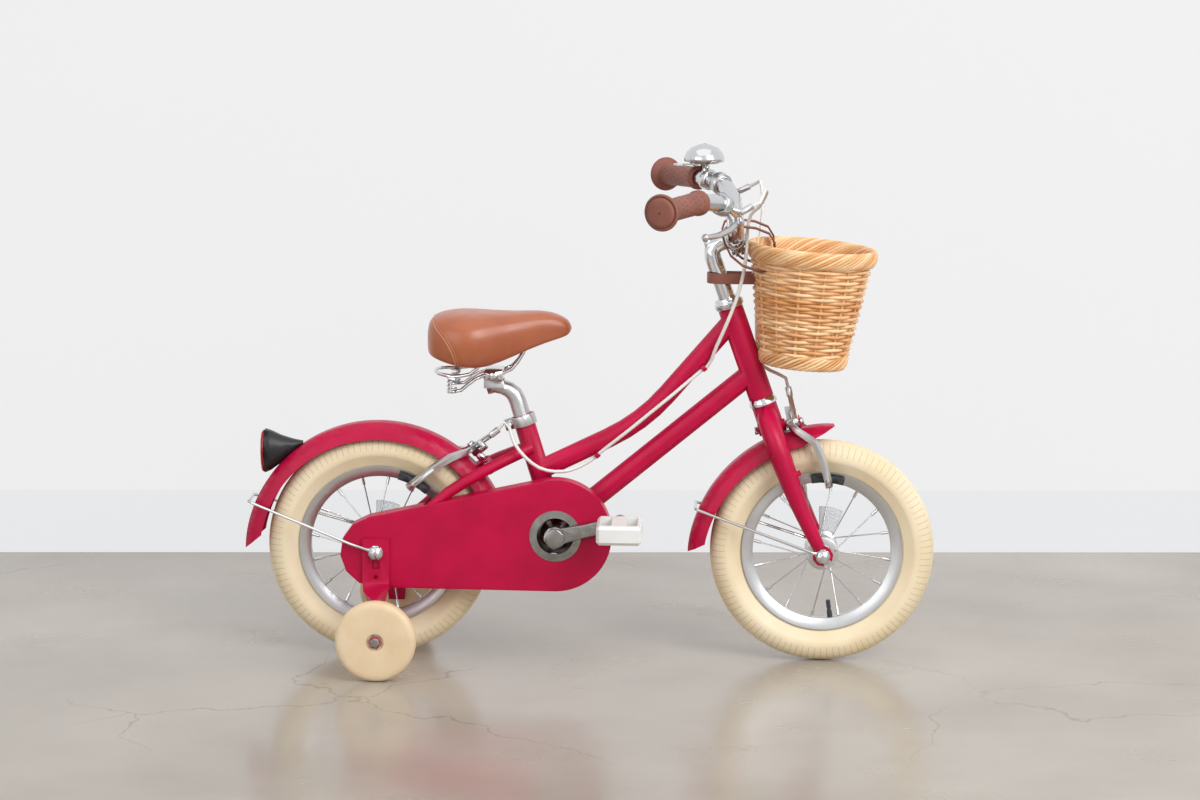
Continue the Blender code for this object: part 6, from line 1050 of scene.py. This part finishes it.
def dotTree():
    # Rows of small flat dots round a grip, each row half a step on from the last.
    tree, given = nodeTree("gripHoles", [
        ("Rows", "NodeSocketInt", 7), ("Around", "NodeSocketInt", 14),
        ("Radius", "NodeSocketFloat", 0.0145), ("From", "NodeSocketFloat", 0.02),
        ("To", "NodeSocketFloat", 0.1), ("Hole", "NodeSocketFloat", 0.0009),
        ("Material", "NodeSocketMaterial", None)])
    total = addNode(tree, "ShaderNodeMath", {0: given["Rows"], 1: given["Around"]},
                    operation="MULTIPLY").outputs[0]
    spots = addNode(tree, "GeometryNodePoints", {"Count": total})
    number = addNode(tree, "GeometryNodeInputIndex").outputs[0]
    row = addNode(tree, "ShaderNodeMath", {0: addNode(tree, "ShaderNodeMath", {
        0: number, 1: given["Around"]}, operation="DIVIDE").outputs[0]},
        operation="FLOOR").outputs[0]
    place = addNode(tree, "ShaderNodeMath", {0: number, 1: given["Around"]},
                    operation="MODULO").outputs[0]
    shift = addNode(tree, "ShaderNodeMath", {0: row, 1: 0.5, 2: place},
                    operation="MULTIPLY_ADD").outputs[0]
    step = addNode(tree, "ShaderNodeMath", {0: 2 * pi, 1: given["Around"]}, operation="DIVIDE")
    angle = addNode(tree, "ShaderNodeMath", {0: shift, 1: step.outputs[0]},
                    operation="MULTIPLY").outputs[0]
    last = addNode(tree, "ShaderNodeMath", {0: given["Rows"], 1: 1.0}, operation="SUBTRACT")
    share = addNode(tree, "ShaderNodeMath", {0: row, 1: last.outputs[0]}, operation="DIVIDE")
    along = addNode(tree, "ShaderNodeMapRange", {"Value": share.outputs[0],
                                                 "To Min": given["From"],
                                                 "To Max": given["To"]}).outputs[0]
    c, s = (addNode(tree, "ShaderNodeMath", {0: angle}, operation=turn).outputs[0]
            for turn in ("COSINE", "SINE"))
    way = addNode(tree, "ShaderNodeCombineXYZ", {0: c, 1: s, 2: 0.0}).outputs[0]
    lift = addNode(tree, "ShaderNodeCombineXYZ", {2: along}).outputs[0]
    there = addNode(tree, "ShaderNodeVectorMath", {0: way, 1: given["Radius"], 2: lift},
                    operation="MULTIPLY_ADD").outputs[0]
    moved = addNode(tree, "GeometryNodeSetPosition", {"Geometry": spots.outputs[0],
                                                      "Position": there})
    facing = addNode(tree, "FunctionNodeAlignRotationToVector", {"Vector": way},
                     axis="Z").outputs[0]
    dot = addNode(tree, "GeometryNodeMeshIcoSphere", {"Radius": given["Hole"],
                                                      "Subdivisions": 2}).outputs[0]
    flat = addNode(tree, "GeometryNodeTransform", {"Geometry": dot, "Scale": (1, 1, 0.3)})
    placed = addNode(tree, "GeometryNodeInstanceOnPoints", {
        "Points": moved.outputs[0], "Instance": flat.outputs[0], "Rotation": facing})
    closeTree(tree, placed.outputs[0], given["Material"])
    return tree


def endOfGrip(node, v):
    # Centre of the grip's outer face and the way that the face looks.
    mesh = frame["nodes"][node].data
    x, y, z = v["run"]
    run = Vector((x, y if "left" in node else -y, z)).normalized()
    far = max(v.co.dot(run) for v in mesh.vertices)
    cap = [v.co for v in mesh.vertices if v.co.dot(run) > far - 1e-5]
    low = Vector([min(p[k] for p in cap) for k in range(3)])
    high = Vector([max(p[k] for p in cap) for k in range(3)])
    return (low + high) / 2, run


holeTree = dotTree()
for node in ("grip_left", "grip_right"):
    v = gripValues
    spot, run = endOfGrip(node, v)
    end, low, r, rim = v["endRadius"], -v["length"], v["radius"], v["flangeRadius"]
    profile = [(0.0, 0.0), (0.0140, -0.0001), (0.0168, -0.0005), (0.0184, -0.0014),
               (0.0190, -0.0028), (0.0190, -0.0044), (0.0200, -0.0044), (0.0206, -0.0036),
               (0.0220, -0.0036), (end - 0.0002, -0.0046), (end, -0.0062), (end - 0.0004, -0.0080),
               (end - 0.0018, -0.0094), (end - 0.0040, -0.0104), (r + 0.0020, -0.0120),
               (r + 0.0006, -0.0136), (r, -0.0160), (r, low + 0.0100), (r + 0.0004, low + 0.0084),
               (rim - 0.0006, low + 0.0074), (rim, low + 0.0062), (rim, low + 0.0016),
               (rim - 0.0008, low + 0.0004), (rim - 0.0020, low), (v["bore"], low),
               (v["bore"], -0.0120), (0.0, -0.0120)]
    ridesFor(lathe("grip." + node[5:], profile, spot, run, brownRubber, 64, degrees=55), node)
    pip = lathe("gripPip." + node[5:], [(0.0, 0.0), (0.0012, 0.0), (0.0008, 0.0006),
                                        (0.0, 0.0007)], spot + run * 0.0001, run, paintedHoleShade, 12)
    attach(pip, "steering")
    dots = grown("gripHoles." + node[5:], holeTree, {
        "Rows": v["rows"], "Around": v["around"], "Radius": v["radius"],
        "From": v["from"], "To": v["to"], "Hole": v["hole"], "Material": paintedHoleShade})
    back = -run
    side = back.orthogonal().normalized()
    turn = Matrix((side, back.cross(side), back)).transposed().to_4x4()
    dots.data.transform(Matrix.Translation(spot) @ turn)
    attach(dots, "steering")
print("stage: grips finished")


# Studio: floor, wall and a soft key from above
studioValues = {"wallY": 0.69, "wallTurn": 4.1, "wallHeight": 6.0, "reach": 9.0,
                "floorZ": -0.0004, "skirting": 0.098, "skirtingDepth": 0.005, "world": 0.80,
                "aim": (0.3, 0.0, 0.3),
                "lights": {"key": ((2.5, -2.6, 2.5), 104.0, 2.2),
                           "fill": ((-2.2, -3.2, 1.8), 34.0, 3.0),
                           "top": ((0.3, -0.4, 3.2), 12.0, 3.0)}}


def buildStudio(v):
    far, low, near = v["reach"], v["floorZ"], v["wallY"]
    slope, ahead = far * sin(radians(v["wallTurn"])), near - v["skirtingDepth"]
    panels = {"studioFloor": ([(-far, -far, low), (far, -far, low), (far, far, low),
                               (-far, far, low)], floorLook)}
    for name, y, top, look in (("studioWall", near, v["wallHeight"], wallLook),
                               ("studioSkirting", ahead, v["skirting"], skirtingLook)):
        panels[name] = ([(-far, y - slope, low), (far, y + slope, low), (far, y + slope, top),
                         (-far, y - slope, top)], look)
    for name, (corners, look) in panels.items():
        panel = newObject(name, corners, [(0, 1, 2, 3)], look)
        if panel.data.polygons[0].normal.y > 0:
            panel.data.flip_normals()
    for name, (spot, power, size) in v["lights"].items():
        data = bpy.data.lights.new(name, "AREA")
        data.energy = power
        data.size = size
        lamp = bpy.data.objects.new(name, data)
        lamp.location = spot
        aim = Vector(v["aim"]) - Vector(spot)
        lamp.rotation_euler = aim.to_track_quat("-Z", "Y").to_euler()
        scene.collection.objects.link(lamp)
    world = bpy.data.worlds.new("studioWorld")
    world.use_nodes = True
    tree = world.node_tree
    where = addNode(tree, "ShaderNodeTexCoord").outputs["Generated"]
    parts = addNode(tree, "ShaderNodeSeparateXYZ", {0: where}).outputs
    rise = addNode(tree, "ShaderNodeMapRange", {"Value": parts[2], "From Min": -0.2,
                                                "From Max": 0.8}).outputs[0]
    sky = addNode(tree, "ShaderNodeMix", {0: rise, 6: linearColour("#8E9093"),
                                          7: linearColour("#F6F8FA")}, data_type="RGBA")
    behind = addNode(tree, "ShaderNodeMapRange", {"Value": parts[1], "From Min": -1.0,
                                                  "From Max": 0.2, "To Min": 1.1,
                                                  "To Max": 0.9}).outputs[0]
    shade = addNode(tree, "ShaderNodeMix", {0: 1.0, 6: sky.outputs[2], 7: behind},
                    data_type="RGBA", blend_type="MULTIPLY")
    back = tree.nodes["Background"]
    tree.links.new(shade.outputs[2], back.inputs["Color"])
    back.inputs["Strength"].default_value = v["world"]
    rays = addNode(tree, "ShaderNodeLightPath").outputs
    direct = addNode(tree, "ShaderNodeMath", {0: rays["Is Camera Ray"],
                                              1: rays["Is Transmission Ray"]}, operation="ADD")
    shown = addNode(tree, "ShaderNodeMath", {0: direct.outputs[0], 1: rays["Is Glossy Ray"]},
                    operation="ADD", use_clamp=True).outputs[0]
    pale = addNode(tree, "ShaderNodeBackground", {"Color": linearColour("#F0F0F1")})
    both = addNode(tree, "ShaderNodeMixShader", {0: shown, 1: back.outputs[0],
                                                 2: pale.outputs[0]})
    tree.links.new(both.outputs[0], tree.nodes["World Output"].inputs["Surface"])
    scene.world = world


buildStudio(studioValues)
print("stage: studio ready")
